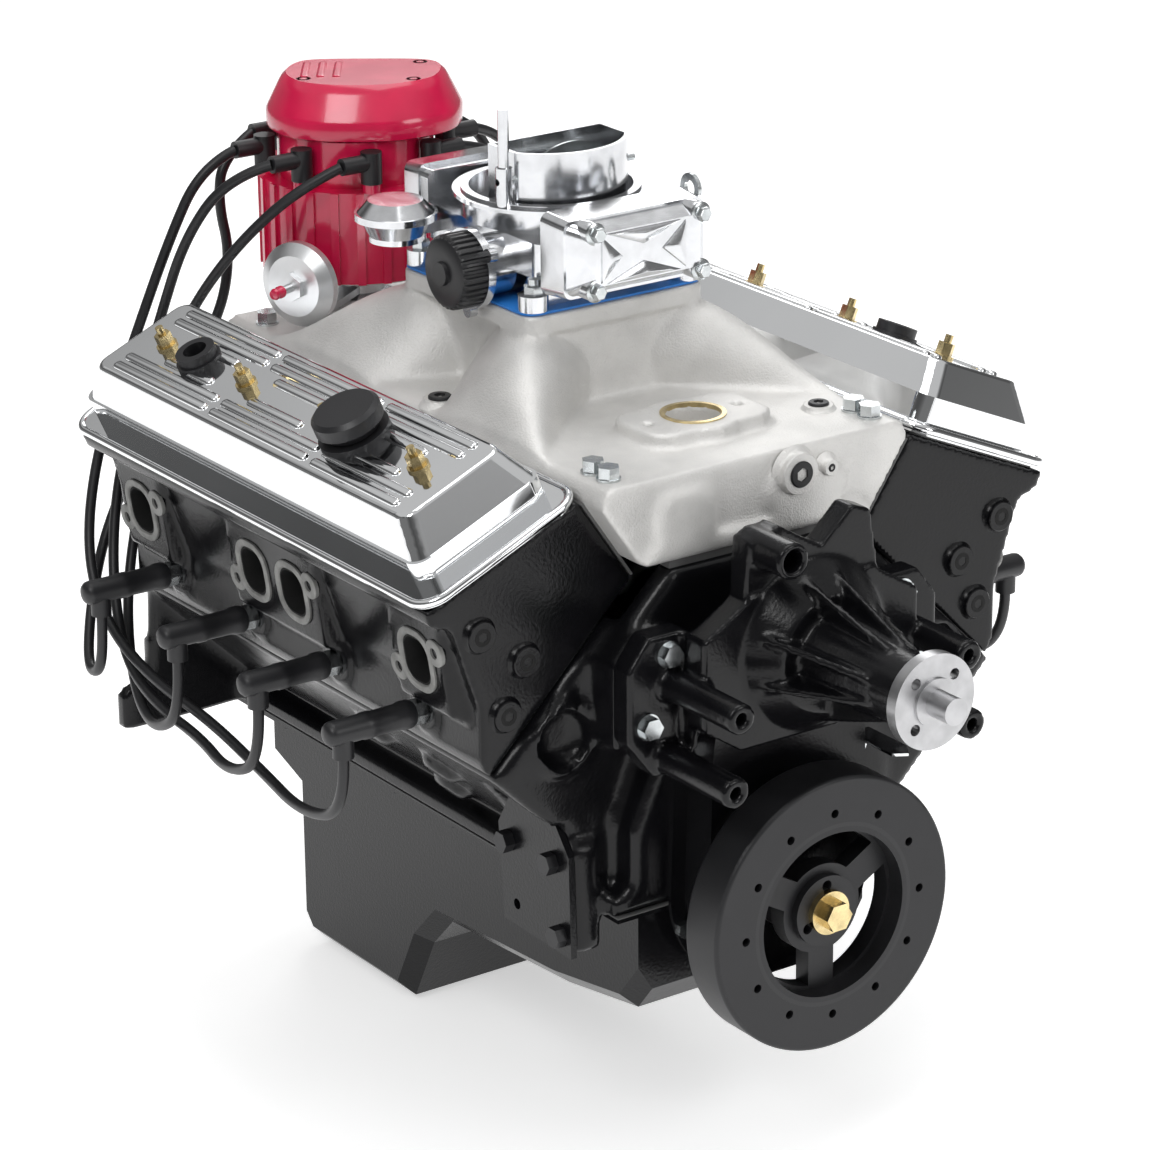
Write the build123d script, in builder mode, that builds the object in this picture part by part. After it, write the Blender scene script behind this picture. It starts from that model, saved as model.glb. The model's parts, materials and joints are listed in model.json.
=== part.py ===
from build123d import *
import os
from math import atan2, cos, degrees, hypot, pi, radians, sin, sqrt, tan

os.makedirs("parts", exist_ok=True)

# Frame: origin on the crankshaft axis at the rear face of the block,
# X to the driver's side, the front of the engine toward -Y, Z up.

# Cylinders and crank
bore = 101.6
stroke = 88.4
rod_length = 144.8
bore_spacing = 111.76
bank_offset = 22.35
bank_angle = 45.0
deck_height = 229.2
rear_main = -36.7
main_journal = 62.2
crank_pin = 53.3
counterweight_radius = 84.0
bay_radius = 88.0
bay_length = 86.0
rest_turn = 45.0
crank_flange_radius = 53.0
crank_flange_thickness = 13.0
crank_bolt_circle = 90.9

# Block
block_length = 514.0
bank_length = 480.0
bank_inner = -72.0
bank_outer = 66.0
bank_foot = 100.0
rail_half = 125.0
rail_depth = 12.0
case_half = 111.0
valley_floor = 146.0
lifter_shelf = 164.0
china_height = 246.0
china_thickness = 20.0
bell_thickness = 12.0
bell_bolt_low = (206.0, 12.0)
bell_bolt_mid = (184.0, 105.0)
bell_bolt_top = (103.0, 243.0)
bell_hole = 10.5
core_plug = (203.0, 14.0)
core_boss = 25.0

# Camshaft and valve gear
cam_height = 114.8
cam_journal = 47.4
cam_bore = 50.8
lobe_base = 15.4
lobe_lift = 7.4
lifter_diameter = 21.4
lifter_length = 50.0
valve_angle = 23.5
valve_offset = 24.0
valve_across = 15.0
valve_length = 112.0
stem_lift = 12.0
stem_radius = 4.35
spring_radius = 16.0
rocker_arm = 34.0
rocker_ratio = 1.5
running_clearance = 0.05
seat_gap = 0.3

# Cylinder heads
head_length = 470.0
gasket_thickness = 1.2
head_inner_foot = -103.0
rail_centre = (196.0, 273.0)
rail_width = 135.0
rail_step = 12.0
port_face_top = (241.0, 238.0)
port_face_foot = (229.0, 160.0)
port_end_offset = 187.0
port_pair_offset = 27.0
plug_point = (222.0, 147.0)

plug_seat = 215.0
seat_x = plug_seat + 4.0
plug_thread = 7.0
port_height = 194.0
port_width = 33.0
port_tall = 37.0
port_deep = 34.0
pocket_depth = 28.0
chamber_radius = 47.0
chamber_depth = 27.0
pushrod_radius = 4.0
pushrod_hole = 6.5

# Valve covers
cover_length = 478.0
cover_lip = 6.0
cover_wall = 3.0
cover_body_length = 452.0
cover_body_width = 112.0
cover_shoulder = 27.0
cover_height = 53.0
cover_top_length = 418.0
cover_top_width = 86.0
cover_bolt_pitch = 112.0
grommet_place = 121.0
grommet_radius = 14.0
far_grommet_place = 112.0
filler_place = -90.0
filler_radius = 21.0
cap_stem = 16.0
cap_radius_oil = 25.0

# Intake manifold
seal_thickness = 6.0
intake_front = -508.0
intake_rear = -12.0
intake_deck = 312.0
intake_gasket = 2.0
plenum_top = 383.0
plenum_length = 168.0
plenum_width = 156.0
carb_y = -261.0
thermostat_y = -432.0
thermostat_top = 322.0
thermostat_bore = 40.0

# Carburettor
carb_gasket_thickness = 1.6
carb_bolt_x = 131.0
carb_bolt_y = 143.0
throttle_bore = 40.0
primary_y = 21.5
barrel_x = 21.5
base_height = 20.0
lip_height = 450.0
lip_radius = 71.0
air_cleaner_radius = 65.1
horn_top = 485.0
bowl_front = -388.0
bowl_width = 124.0
carb_body_half = 74.0
metering_thickness = 11.0
throttle_shaft = 4.0
throttle_range = 75.0
choke_shaft = 2.5
choke_z = 466.0
choke_range = 75.0
horn_half = 46.0
horn_reach = 24.0
choke_y = -284.0
choke_cap_z = 407.0
diaphragm_x = -92.0
diaphragm_y = -198.0

# Distributor
distributor_x = -23.0
distributor_y = -35.0
distributor_tail = 10.0
distributor_gear = 11.2
distributor_shaft = 6.35
neck_radius = 17.0
cap_radius = 74.0
cap_wall = 5.0
cap_base = 345.0
cap_deck = 415.0
drum_radius = 59.0
cap_drum_top = 450.0
cover_top = 492.0
terminal_circle = 69.0
terminal_z = 438.0
arm_reach = 26.0
can_radius = 32.0

# Water pump
pump_height = 193.0
hub_face = -700.0
hub_radius = 33.6
hub_thickness = 9.0
pilot_radius = 9.5
pump_face = -520.0
leg_bolt_high = (101.0, 200.0)
leg_bolt_low = (118.0, 151.0)
leg_thickness = 20.0
pump_shaft = 8.0
hub_circle = 46.0
volute_rear = -548.0
volute_radius = 62.0
back_plate = 2.5

# Balancer and timing set
balancer_radius = 101.6
balancer_front = -596.0
balancer_rear = -560.0
ring_inner = 68.0
rubber = 3.0
window_outer = 58.0
window_inner = 33.0
hub_neck = 26.0
hub_rear = -530.0
snout_radius = 15.85
snout_end = -586.0
timing_plane = -521.0
sprocket_width = 11.0
timing_cover_depth = 31.0
cover_upper = 66.0
cover_lower = 70.0
rail_clear = 60.0
piston_gap = 0.2

# Oil pan
pan_sheet = 2.0
pan_rail = 3.0
sump_depth = 195.0
pan_half = 100.0
pan_gasket_thickness = 1.0
sump_front = -225.0
shallow_depth = 95.0

# Leads
lead_radius = 4.0
boot_radius = 8.5
boot_end = 292.0
boot_foot = 128.0
lead_low = 84.0

# Side pads of the block: engine mounts, fuel pump pad and oil filter
engine_mount_y = -318.0
engine_mount_u = 150.0
engine_mount_lift = 8.0
engine_mount_bolts = ((-43, 20), (43, 20), (0, -32))
engine_mount_hole = 9.5
fuel_pad_face = -150.0
fuel_plate_thickness = 5.0
filter_x = 175.0
filter_y = -64.0
filter_radius = 45.0
filter_length = 96.0


def section(y):
    """The cross-section plane at a length, seen from the front: its y axis is up."""
    return Plane(origin=(0, y, 0), x_dir=(1, 0, 0), z_dir=(0, -1, 0))


def bank_point(side, u, v):
    """A point of the front view: u along the bore from the crank axis, v outward across it."""
    up = cos(radians(bank_angle))
    out = sin(radians(bank_angle))
    return (side * (u * out + v * up), u * up - v * out)


def bank_plane(side, y, u, v=0.0):
    """A plane square to the bores that faces out of the deck, its y axis along v."""
    x, z = bank_point(side, u, v)
    out = (side * sin(radians(bank_angle)), 0, cos(radians(bank_angle)))
    return Plane((x, y, z), x_dir=(0, -side, 0), z_dir=out)


def rail_point(side, across, lift):
    """A point of the front view measured from the middle of the valve cover rail."""
    tilt = radians(valve_angle)
    x = rail_centre[0] + across * cos(tilt) + lift * sin(tilt)
    z = rail_centre[1] - across * sin(tilt) + lift * cos(tilt)
    return (side * x, z)


def rail_plane(side, y, across=0.0, lift=0.0):
    """A plane parallel to the valve cover rail, its y axis outward and down."""
    x, z = rail_point(side, across, lift)
    tilt = radians(valve_angle)
    return Plane((x, y, z), x_dir=(0, -side, 0), z_dir=(side * sin(tilt), 0, cos(tilt)))


def bank_centre(side):
    return rear_main - 2 * bore_spacing - side * bank_offset / 2


def bore_y(side, index):
    return bank_centre(side) + (index - 1.5) * bore_spacing


def throw_y(index):
    return rear_main - (index + 0.5) * bore_spacing


def hex_bolt(across, head, shank=0.0, length=0.0):
    """A hex-head bolt that stands on the XY plane with its shank below."""
    with BuildPart() as bolt:
        with BuildSketch():
            RegularPolygon(across / 2, 6, major_radius=False)
        extrude(amount=head)
        if length:
            Cylinder(shank, length, align=(Align.CENTER, Align.CENTER, Align.MAX))
    return bolt.part


def side_face(side, x, y, z, droop=0.0):
    """A plane that faces straight out to one side, or tilted down by droop degrees."""
    out = (side * cos(radians(droop)), 0, -sin(radians(droop)))
    return Plane((x, y, z), x_dir=(0, side, 0), z_dir=out)


def flank_plane(side, y, u, v):
    """A plane on a bank's outer wall that faces out of it, its y axis up along the bore."""
    x, z = bank_point(side, u, v)
    out = (side * cos(radians(bank_angle)), 0, -sin(radians(bank_angle)))
    return Plane((x, y, z), x_dir=(0, side, 0), z_dir=out)


def port_face_x(height):
    """How far out the sloping exhaust port faces lie at a given height."""
    slope = (port_face_top[0] - port_face_foot[0]) / (port_face_top[1] - port_face_foot[1])
    return port_face_foot[0] + slope * (height - port_face_foot[1])


def port_plane(side, y, height=190.0):
    """A plane on the exhaust port faces at a given height, its y axis upward."""
    rise = port_face_top[1] - port_face_foot[1]
    run = port_face_top[0] - port_face_foot[0]
    return Plane((side * port_face_x(height), y, height), x_dir=(0, side, 0), z_dir=(side * rise, 0, -run))


cam_u = cam_height * cos(radians(bank_angle))
lifter_seat = cam_u + lobe_base + lobe_lift + seat_gap
cup_depth = 12.0


def pushrod_ends(side):
    """The centres of a pushrod's ball ends, in its lifter and under its rocker, in the front view."""
    clear = seat_gap + pushrod_radius
    foot = bank_point(side, lifter_seat + lifter_length - cup_depth + clear, -cam_u)
    top = rail_point(side, valve_across - rocker_arm * (1 + 1 / rocker_ratio), stem_lift - 4 - clear)
    return foot, top


def pushrod_length(side):
    foot, top = pushrod_ends(side)
    return hypot(top[0] - foot[0], top[1] - foot[1])


def pushrod_plane(side, y):
    """A plane at the pushrod's foot that faces along the rod."""
    foot, top = pushrod_ends(side)
    return Plane((foot[0], y, foot[1]), x_dir=(0, 1, 0), z_dir=(top[0] - foot[0], 0, top[1] - foot[1]))


sides = {"right": -1, "left": 1}

# Cylinder block: crankcase, two staggered banks, china walls, bell flange and front pads
pad_rear = china_thickness - block_length
main_housing = main_journal / 2 + 2.0
fuel_pad_outline = ((-500, -28), (-498, 48), (-464, 90), (-438, 90), (-412, 46), (-418, -26))
with BuildPart() as cylinder_block:
    with BuildSketch(section(0)):
        with BuildLine():
            Polyline((0, 0), (rail_half, 0), (rail_half, rail_depth), (case_half, rail_depth + 6),
                     (case_half, 60), (66, lifter_shelf), (40, lifter_shelf),
                     (22, valley_floor), (0, valley_floor), close=True)
        make_face()
        mirror(about=Plane.YZ)
    extrude(amount=block_length)
    for side in sides.values():
        with BuildSketch(section(bank_centre(side) + bank_length / 2)):
            Polygon(bank_point(side, deck_height, bank_inner), bank_point(side, deck_height, bank_outer),
                    bank_point(side, bank_foot, bank_outer), bank_point(side, bank_foot, -50), align=None)
        extrude(amount=bank_length)
    wall_top = sum(bank_point(1, deck_height, 0)) - china_height
    wall_foot = bank_point(1, deck_height, bank_inner)
    for rear in (0, pad_rear):
        with BuildSketch(section(rear)):
            with BuildLine():
                Polyline((0, china_height), (wall_top, china_height), wall_foot,
                         (wall_foot[0], 120), (0, 120), close=True)
            make_face()
            mirror(about=Plane.YZ)
        extrude(amount=china_thickness)
    with BuildSketch(section(0)):
        with BuildLine():
            Polyline((0, 0), (rail_half, 0), (186, -3), (230, -3), (230, 28), (207, 42), (200, 125),
                     (150, 205), (122, 258), (84, 262), (0, china_height), close=True)
        make_face()
        mirror(about=Plane.YZ)
    extrude(amount=bell_thickness)
    for side in sides.values():
        with BuildSketch(section(pad_rear)):
            Polygon((side * 86, 128), (side * 131, 128), (side * 131, 190), (side * 116, 206),
                    (side * 86, 206), align=None)
        extrude(amount=pad_rear - pump_face)
        with BuildSketch(flank_plane(side, engine_mount_y, engine_mount_u, bank_outer)):
            with Locations(*engine_mount_bolts):
                Circle(15)
        extrude(amount=engine_mount_lift)
        with BuildSketch(section(bank_centre(side) - bank_length / 2)):
            with Locations(bank_point(side, *core_plug)):
                Circle(core_boss)
        extrude(amount=6)
    with BuildSketch(Plane.YZ.offset(-rail_half - 2)):
        Polygon(*fuel_pad_outline, align=None)
    extrude(amount=fuel_pad_face + rail_half + 2)
    with BuildSketch(Plane.YZ.offset(fuel_pad_face)):
        Polygon(*fuel_pad_outline, align=None)
        offset(amount=2.5)
    extrude(amount=-60, mode=Mode.SUBTRACT)
    with Locations((-case_half, -455, 44)):
        Box(rail_half + 3 - case_half, 70, 60, align=(Align.MAX, Align.CENTER, Align.CENTER))
    with BuildSketch(Plane.XY.offset(6)):
        with Locations((filter_x, filter_y)):
            Circle(filter_radius)
        with Locations((case_half, filter_y)):
            Rectangle(filter_x - case_half, 1.5 * filter_radius, align=(Align.MIN, Align.CENTER))
    extrude(amount=26)
    # Hollows: crank bays, main bore, cam tunnel, cylinder bores, lifter bores
    for index in range(4):
        with BuildSketch(section(throw_y(index) + bay_length / 2)):
            Circle(bay_radius)
        extrude(amount=bay_length, mode=Mode.SUBTRACT)
    with BuildSketch(section(0)):
        Circle(main_housing)
    extrude(amount=block_length, mode=Mode.SUBTRACT)
    with BuildSketch(section(0)):
        Circle(crank_flange_radius + 1)
    extrude(amount=crank_flange_thickness + 1, mode=Mode.SUBTRACT)
    with BuildSketch(section(-bell_thickness)):
        with Locations((0, cam_height)):
            Circle(cam_bore / 2)
    extrude(amount=block_length - bell_thickness, mode=Mode.SUBTRACT)
    for side in sides.values():
        with Locations(section(bank_centre(side) - bank_length / 2 - 6)):
            with Locations(bank_point(side, *core_plug)):
                Hole(core_boss - 4, depth=14)
        for index in range(4):
            with Locations(bank_plane(side, bore_y(side, index), deck_height)):
                Cylinder(bore / 2, deck_height - 76, align=(Align.CENTER, Align.CENTER, Align.MAX),
                         mode=Mode.SUBTRACT)
            for shift in (-valve_offset, valve_offset):
                place = bank_plane(side, bore_y(side, index) + shift, cam_u, -cam_u)
                with Locations(place):
                    Cylinder(lifter_diameter / 2 + running_clearance, 110,
                             align=(Align.CENTER, Align.CENTER, Align.MIN), mode=Mode.SUBTRACT)
        with Locations(flank_plane(side, engine_mount_y, engine_mount_u, bank_outer + engine_mount_lift)):
            with Locations(*engine_mount_bolts):
                Hole(engine_mount_hole / 2, depth=22)
        with Locations(section(pump_face)):
            with Locations((side * leg_bolt_high[0], leg_bolt_high[1]), (side * leg_bolt_low[0], leg_bolt_low[1])):
                Hole(4.8, depth=24)
        with Locations(section(0)):
            with Locations((side * bell_bolt_low[0], bell_bolt_low[1]), (side * bell_bolt_mid[0], bell_bolt_mid[1]),
                           (side * bell_bolt_top[0], bell_bolt_top[1])):
                Cylinder(bell_hole / 2, 3 * bell_thickness, mode=Mode.SUBTRACT)
    with Locations((distributor_x, distributor_y, cam_height)):
        Cylinder(distributor_tail + 0.5, 80, align=(Align.CENTER, Align.CENTER, Align.MIN), mode=Mode.SUBTRACT)
        Cylinder(distributor_gear + 1, 60, mode=Mode.SUBTRACT)
cylinder_block.part.label = "cylinder_block"
export_step(cylinder_block.part, "parts/cylinder_block.step")

# Main bearing caps with their shells
cap_width = 132.0
cap_depth = 46.0
cap_thickness = 24.0
with BuildPart() as main_caps:
    for index in range(5):
        with BuildSketch(section(rear_main - index * bore_spacing + cap_thickness / 2)):
            with BuildLine():
                Polyline((0, 0), (cap_width / 2, 0), (cap_width / 2, -20), (cap_width / 2 - 22, -24),
                         (cap_width / 2 - 30, -cap_depth), (0, -cap_depth), close=True)
            make_face()
            mirror(about=Plane.YZ)
            Circle(main_housing, mode=Mode.SUBTRACT)
        extrude(amount=cap_thickness)
main_caps.part.label = "main_caps"
export_step(main_caps.part, "parts/main_caps.step")

with BuildPart() as main_bearings:
    for index in range(5):
        with BuildSketch(section(rear_main - index * bore_spacing + cap_thickness / 2)):
            Circle(main_housing)
            Circle(main_journal / 2 + running_clearance, mode=Mode.SUBTRACT)
        extrude(amount=cap_thickness)
    split(bisect_by=Plane.XY, keep=Keep.BOTH)


head_foot = deck_height + gasket_thickness
with BuildPart() as head_gaskets:
    for side in sides.values():
        deck_middle = (bank_outer + bank_inner) / 2
        with BuildSketch(bank_plane(side, bank_centre(side), deck_height, deck_middle)):
            RectangleRounded(head_length - 6, bank_outer - bank_inner - 6, 8)
            with GridLocations(bore_spacing, 0, 4, 1):
                with Locations((0, -deck_middle)):
                    Circle(bore / 2 + 1, mode=Mode.SUBTRACT)
        extrude(amount=gasket_thickness)


def build_head(side):
    """One cylinder head: section, valve pocket, port bosses, chambers, plug seats and drillings."""
    middle = bank_centre(side)
    pocket_outer = rail_width / 2 - 21
    pocket_inner = 14 - rail_width / 2
    with BuildPart() as head:
        with BuildSketch(section(middle + head_length / 2)):
            Polygon(bank_point(side, head_foot, head_inner_foot), rail_point(side, -rail_width / 2, 0),
                    rail_point(side, rail_width / 2, 0), rail_point(side, rail_width / 2, -rail_step),
                    (side * 236, 229), (side * plug_seat, 166), (side * plug_seat, 128),
                    bank_point(side, head_foot, bank_outer), align=None)
        extrude(amount=head_length)
        # Port bosses stand out to the exhaust face
        for centre, length in ((-port_end_offset, 66), (0, 122), (port_end_offset, 66)):
            with BuildSketch(section(middle + centre + length / 2)):
                Polygon((side * 205, 228), (side * 240, 232), (side * port_face_x(230), 230),
                        (side * port_face_foot[0], port_face_foot[1]), (side * (plug_seat - 4), 150), align=None)
            extrude(amount=length)
        # Spark plug seats
        for index in range(4):
            with Locations(side_face(side, side * plug_seat, bore_y(side, index), plug_point[1])):
                Cylinder(16, 8)
        # Open valve pocket under the cover
        with BuildSketch(section(middle + head_length / 2 - 14)):
            Polygon(rail_point(side, pocket_inner, 1), rail_point(side, pocket_outer, 1),
                    rail_point(side, pocket_outer, -pocket_depth), rail_point(side, pocket_inner, -pocket_depth),
                    align=None)
        extrude(amount=head_length - 28, mode=Mode.SUBTRACT)
        # Exhaust ports: single at the ends, paired in the middle
        for centre in (-port_end_offset, -port_pair_offset, port_pair_offset, port_end_offset):
            with BuildSketch(port_plane(side, middle + centre, port_height)):
                RectangleRounded(port_width, port_tall, 11)
            extrude(amount=-port_deep, mode=Mode.SUBTRACT)
        for index in range(4):
            with Locations(bank_plane(side, bore_y(side, index), head_foot)):
                Cylinder(chamber_radius, chamber_depth, align=(Align.CENTER, Align.CENTER, Align.MIN),
                         mode=Mode.SUBTRACT)
            with Locations(side_face(side, side * plug_seat, bore_y(side, index), plug_point[1])):
                Cylinder(plug_thread + 0.1, 36, mode=Mode.SUBTRACT)
            with Locations(side_face(side, side * seat_x, bore_y(side, index), plug_point[1])):
                Cylinder(11.5, 30, align=(Align.CENTER, Align.CENTER, Align.MIN), mode=Mode.SUBTRACT)
            for shift in (-valve_offset, valve_offset):
                y = bore_y(side, index) + shift
                with Locations(rail_plane(side, y, valve_across, 0)):
                    Cylinder(stem_radius + running_clearance, 2 * valve_length, mode=Mode.SUBTRACT)
                with Locations(pushrod_plane(side, y)):
                    Cylinder(pushrod_hole, pushrod_length(side), align=(Align.CENTER, Align.CENTER, Align.MIN),
                             mode=Mode.SUBTRACT)
    return head.part


head_right = build_head(sides["right"])
head_right.label = "head_right"
export_step(head_right, "parts/head_right.step")
head_left = build_head(sides["left"])
head_left.label = "head_left"
export_step(head_left, "parts/head_left.step")

# Valve gear: the followers stand at full lift, clear of the turning cam
def along_valves():
    """Side and length of every valve."""
    return [(side, bore_y(side, index) + shift) for side in sides.values() for index in range(4)
            for shift in (-valve_offset, valve_offset)]


BASE = (Align.CENTER, Align.CENTER, Align.MIN)
with BuildPart() as lifters:
    with Locations(*[bank_plane(side, y, lifter_seat, -cam_u) for side, y in along_valves()]):
        Cylinder(lifter_diameter / 2, lifter_length, align=BASE)
    with Locations(*[bank_plane(side, y, lifter_seat + lifter_length, -cam_u) for side, y in along_valves()]):
        Hole(pushrod_hole, depth=cup_depth)

with BuildPart() as pushrods:
    for side, y in along_valves():
        with Locations(pushrod_plane(side, y)):
            Cylinder(pushrod_radius, pushrod_length(side), align=BASE)
            Sphere(pushrod_radius)
            with Locations((0, 0, pushrod_length(side))):
                Sphere(pushrod_radius)

pivot_across = valve_across - rocker_arm
push_across = pivot_across - rocker_arm / rocker_ratio
with BuildPart() as rocker_arms:
    for side, y in along_valves():
        outline = [(valve_across + 5, 0), (valve_across + 5, 6), (pivot_across + 8, 13), (pivot_across - 8, 12),
                   (push_across - 6, 5), (push_across - 6, -4), (push_across + 6, -4), (pivot_across, 4),
                   (valve_across - 6, 0)]
        with BuildSketch(section(y + 7)):
            Polygon(*[rail_point(side, a, stem_lift + lift) for a, lift in outline], align=None)
        extrude(amount=14)
    with Locations(*[rail_plane(side, y, pivot_across, stem_lift) for side, y in along_valves()]):
        Cylinder(5.2, 60, mode=Mode.SUBTRACT)

with BuildPart() as rocker_studs:
    with Locations(*[rail_plane(side, y, pivot_across, -pocket_depth) for side, y in along_valves()]):
        Cylinder(4.8, pocket_depth + stem_lift + 20, align=BASE)

with BuildPart() as valve_gear:
    for piece in (lifters, pushrods, rocker_arms, rocker_studs):
        add(piece.part)
valve_gear.part.label = "valve_gear"
export_step(valve_gear.part, "parts/valve_gear.step")

with BuildPart() as poppets:
    with Locations(*[rail_plane(side, y, valve_across, stem_lift - valve_length) for side, y in along_valves()]):
        Cylinder(stem_radius, valve_length, align=BASE)
        Cone(22, stem_radius, 10, align=BASE)

with BuildPart() as valve_springs:
    for side, y in along_valves():
        with BuildSketch(rail_plane(side, y, valve_across, -pocket_depth)):
            Circle(spring_radius)
            Circle(spring_radius - 4, mode=Mode.SUBTRACT)
        extrude(amount=pocket_depth + stem_lift - 5)

with BuildPart() as valves:
    for piece in (poppets, valve_springs):
        add(piece.part)
valves.part.label = "valves"
export_step(valves.part, "parts/valves.step")

# Valve covers: lip, upright walls, sloped shoulders and a flat top, hollow below
cover_seat = 1.6


def build_cover(side, holes):
    """One pressed cover on its rail; holes lists the place along the top and the radius of each opening."""
    middle = bank_centre(side)
    with BuildPart() as cover:
        with BuildSketch(rail_plane(side, middle, 0, cover_seat)):
            RectangleRounded(cover_length, rail_width, 18)
        extrude(amount=cover_lip)
        with BuildSketch(rail_plane(side, middle, 0, cover_seat)):
            RectangleRounded(cover_body_length, cover_body_width, 12)
        extrude(amount=cover_shoulder)
        with BuildSketch(rail_plane(side, middle, 0, cover_seat + cover_shoulder)):
            RectangleRounded(cover_body_length - 4, cover_body_width - 4, 12)
        with BuildSketch(rail_plane(side, middle, 0, cover_seat + cover_height)):
            RectangleRounded(cover_top_length, cover_top_width, 12)
        loft()
        top = rail_plane(side, middle, 0, cover_seat + cover_height)
        fillet(cover.faces().sort_by(Axis(top.origin, top.z_dir))[-1].edges(), 4)
        with BuildSketch(rail_plane(side, middle, 0, cover_seat)):
            RectangleRounded(cover_body_length - 2 * cover_wall, cover_body_width - 2 * cover_wall, 10)
        extrude(amount=cover_shoulder - 1, mode=Mode.SUBTRACT)
        with BuildSketch(rail_plane(side, middle, 0, cover_seat + cover_shoulder - 1)):
            RectangleRounded(cover_body_length - 4 - 2 * cover_wall, cover_body_width - 4 - 2 * cover_wall, 10)
        with BuildSketch(rail_plane(side, middle, 0, cover_seat + cover_height - cover_wall)):
            RectangleRounded(cover_top_length - 2 * cover_wall, cover_top_width - 2 * cover_wall, 10)
        loft(mode=Mode.SUBTRACT)
        with Locations(rail_plane(side, middle, 0, cover_seat + cover_height)):
            for place, radius in holes:
                with Locations((place, 0)):
                    Hole(radius, depth=2 * cover_wall)
            with GridLocations(cover_bolt_pitch, 0, 4, 1):
                Hole(4.3, depth=2 * cover_wall)
    return cover.part


cover_right = build_cover(sides["right"], ((grommet_place, grommet_radius), (filler_place, filler_radius)))
cover_right.label = "valve_cover_right"
export_step(cover_right, "parts/valve_cover_right.step")
cover_left = build_cover(sides["left"], ((far_grommet_place, grommet_radius),))
cover_left.label = "valve_cover_left"
export_step(cover_left, "parts/valve_cover_left.step")

with BuildPart() as cover_gaskets:
    for side in sides.values():
        with BuildSketch(rail_plane(side, bank_centre(side))):
            RectangleRounded(head_length - 4, rail_width - 4, 16)
            RectangleRounded(cover_body_length - 2 * cover_wall, cover_body_width - 2 * cover_wall, 10,
                             mode=Mode.SUBTRACT)
        extrude(amount=cover_seat)

cover_bolt = hex_bolt(11, 9, 6.5, 0)
with BuildPart() as cover_bolts:
    for side in sides.values():
        with Locations(rail_plane(side, bank_centre(side), 0, cover_seat + cover_height)):
            with GridLocations(cover_bolt_pitch, 0, 4, 1):
                Cylinder(8, 2, align=BASE)
                Cylinder(4, 9, align=(Align.CENTER, Align.CENTER, Align.MAX))
                Cylinder(3, 17, align=BASE)
            with Locations((0, 0, 2)):
                with GridLocations(cover_bolt_pitch, 0, 4, 1):
                    add(cover_bolt)
cover_bolts.part.label = "cover_bolts"
export_step(cover_bolts.part, "parts/cover_bolts.step")

with BuildPart() as vent_grommets:
    for side, place in ((-1, grommet_place), (1, far_grommet_place)):
        with Locations(rail_plane(side, bank_centre(side), 0, cover_seat + cover_height)):
            with Locations((place, 0)):
                Cylinder(grommet_radius + 3, 4, align=BASE)
                Cylinder(grommet_radius + 1, 11, align=BASE)
                Cylinder(grommet_radius, cover_wall + 3, align=(Align.CENTER, Align.CENTER, Align.MAX))
                Cylinder(grommet_radius - 5, 60, mode=Mode.SUBTRACT)

# Oil filler: rubber-sealed neck and a push-in cap that lifts off along the neck
filler_top = rail_plane(sides["right"], bank_centre(sides["right"]), 0, cover_seat + cover_height)
with BuildPart() as filler_neck:
    with Locations(filler_top):
        with Locations((filler_place, 0)):
            Cylinder(filler_radius + 5, 6, align=BASE)
            Cylinder(filler_radius, cover_wall + 3, align=(Align.CENTER, Align.CENTER, Align.MAX))
            Cylinder(cap_stem + 0.2, 60, mode=Mode.SUBTRACT)

with BuildPart() as cover_grommets:
    for piece in (vent_grommets, filler_neck):
        add(piece.part)
cover_grommets.part.label = "cover_grommets"
export_step(cover_grommets.part, "parts/cover_grommets.step")

filler_centre = filler_top.from_local_coords((filler_place, 0, 0))
with BuildPart() as oil_filler_cap:
    with BuildSketch(Plane(filler_centre, x_dir=filler_top.x_dir, z_dir=-filler_top.y_dir)):
        with BuildLine():
            Polyline((0, -12), (cap_stem, -12), (cap_stem, 6.3), (cap_radius_oil - 6, 6.3),
                     (cap_radius_oil - 4, 11), (cap_radius_oil, 13), (cap_radius_oil, 22),
                     (cap_radius_oil - 3, 25), (0, 25), close=True)
        make_face()
    revolve(axis=Axis(filler_centre, filler_top.z_dir))
oil_filler_cap.part.label = "oil_filler_cap"
export_step(oil_filler_cap.part, "parts/oil_filler_cap.step")

# Intake manifold: flanges on the heads, front deck, plenum and four runner domes
flange_foot = bank_point(1, head_foot, head_inner_foot)
flange_top = rail_point(1, -rail_width / 2, 0)
flange_slope = hypot(flange_top[0] - flange_foot[0], flange_top[1] - flange_foot[1])
face_x = (flange_top[0] - flange_foot[0]) / flange_slope
face_z = (flange_top[1] - flange_foot[1]) / flange_slope
intake_foot = china_height + seal_thickness


def flange_point(rise, off):
    """A point along the head's intake face, rise above its foot and off from it toward the valley."""
    return (flange_foot[0] + rise * face_x - off * face_z, flange_foot[1] + rise * face_z + off * face_x)


def runner_section(side, x, near, far, top):
    """An arch that stands across a runner: its flat foot is sunk in the deck."""
    middle = (near + far) / 2
    with BuildSketch(Plane.YZ.offset(side * x)) as arch:
        with BuildLine():
            Line((near, intake_deck - 6), (near, intake_deck))
            ThreePointArc((near, intake_deck), (middle, top), (far, intake_deck))
            Polyline((far, intake_deck), (far, intake_deck - 6), (near, intake_deck - 6))
        make_face()
    return arch.sketch


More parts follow.
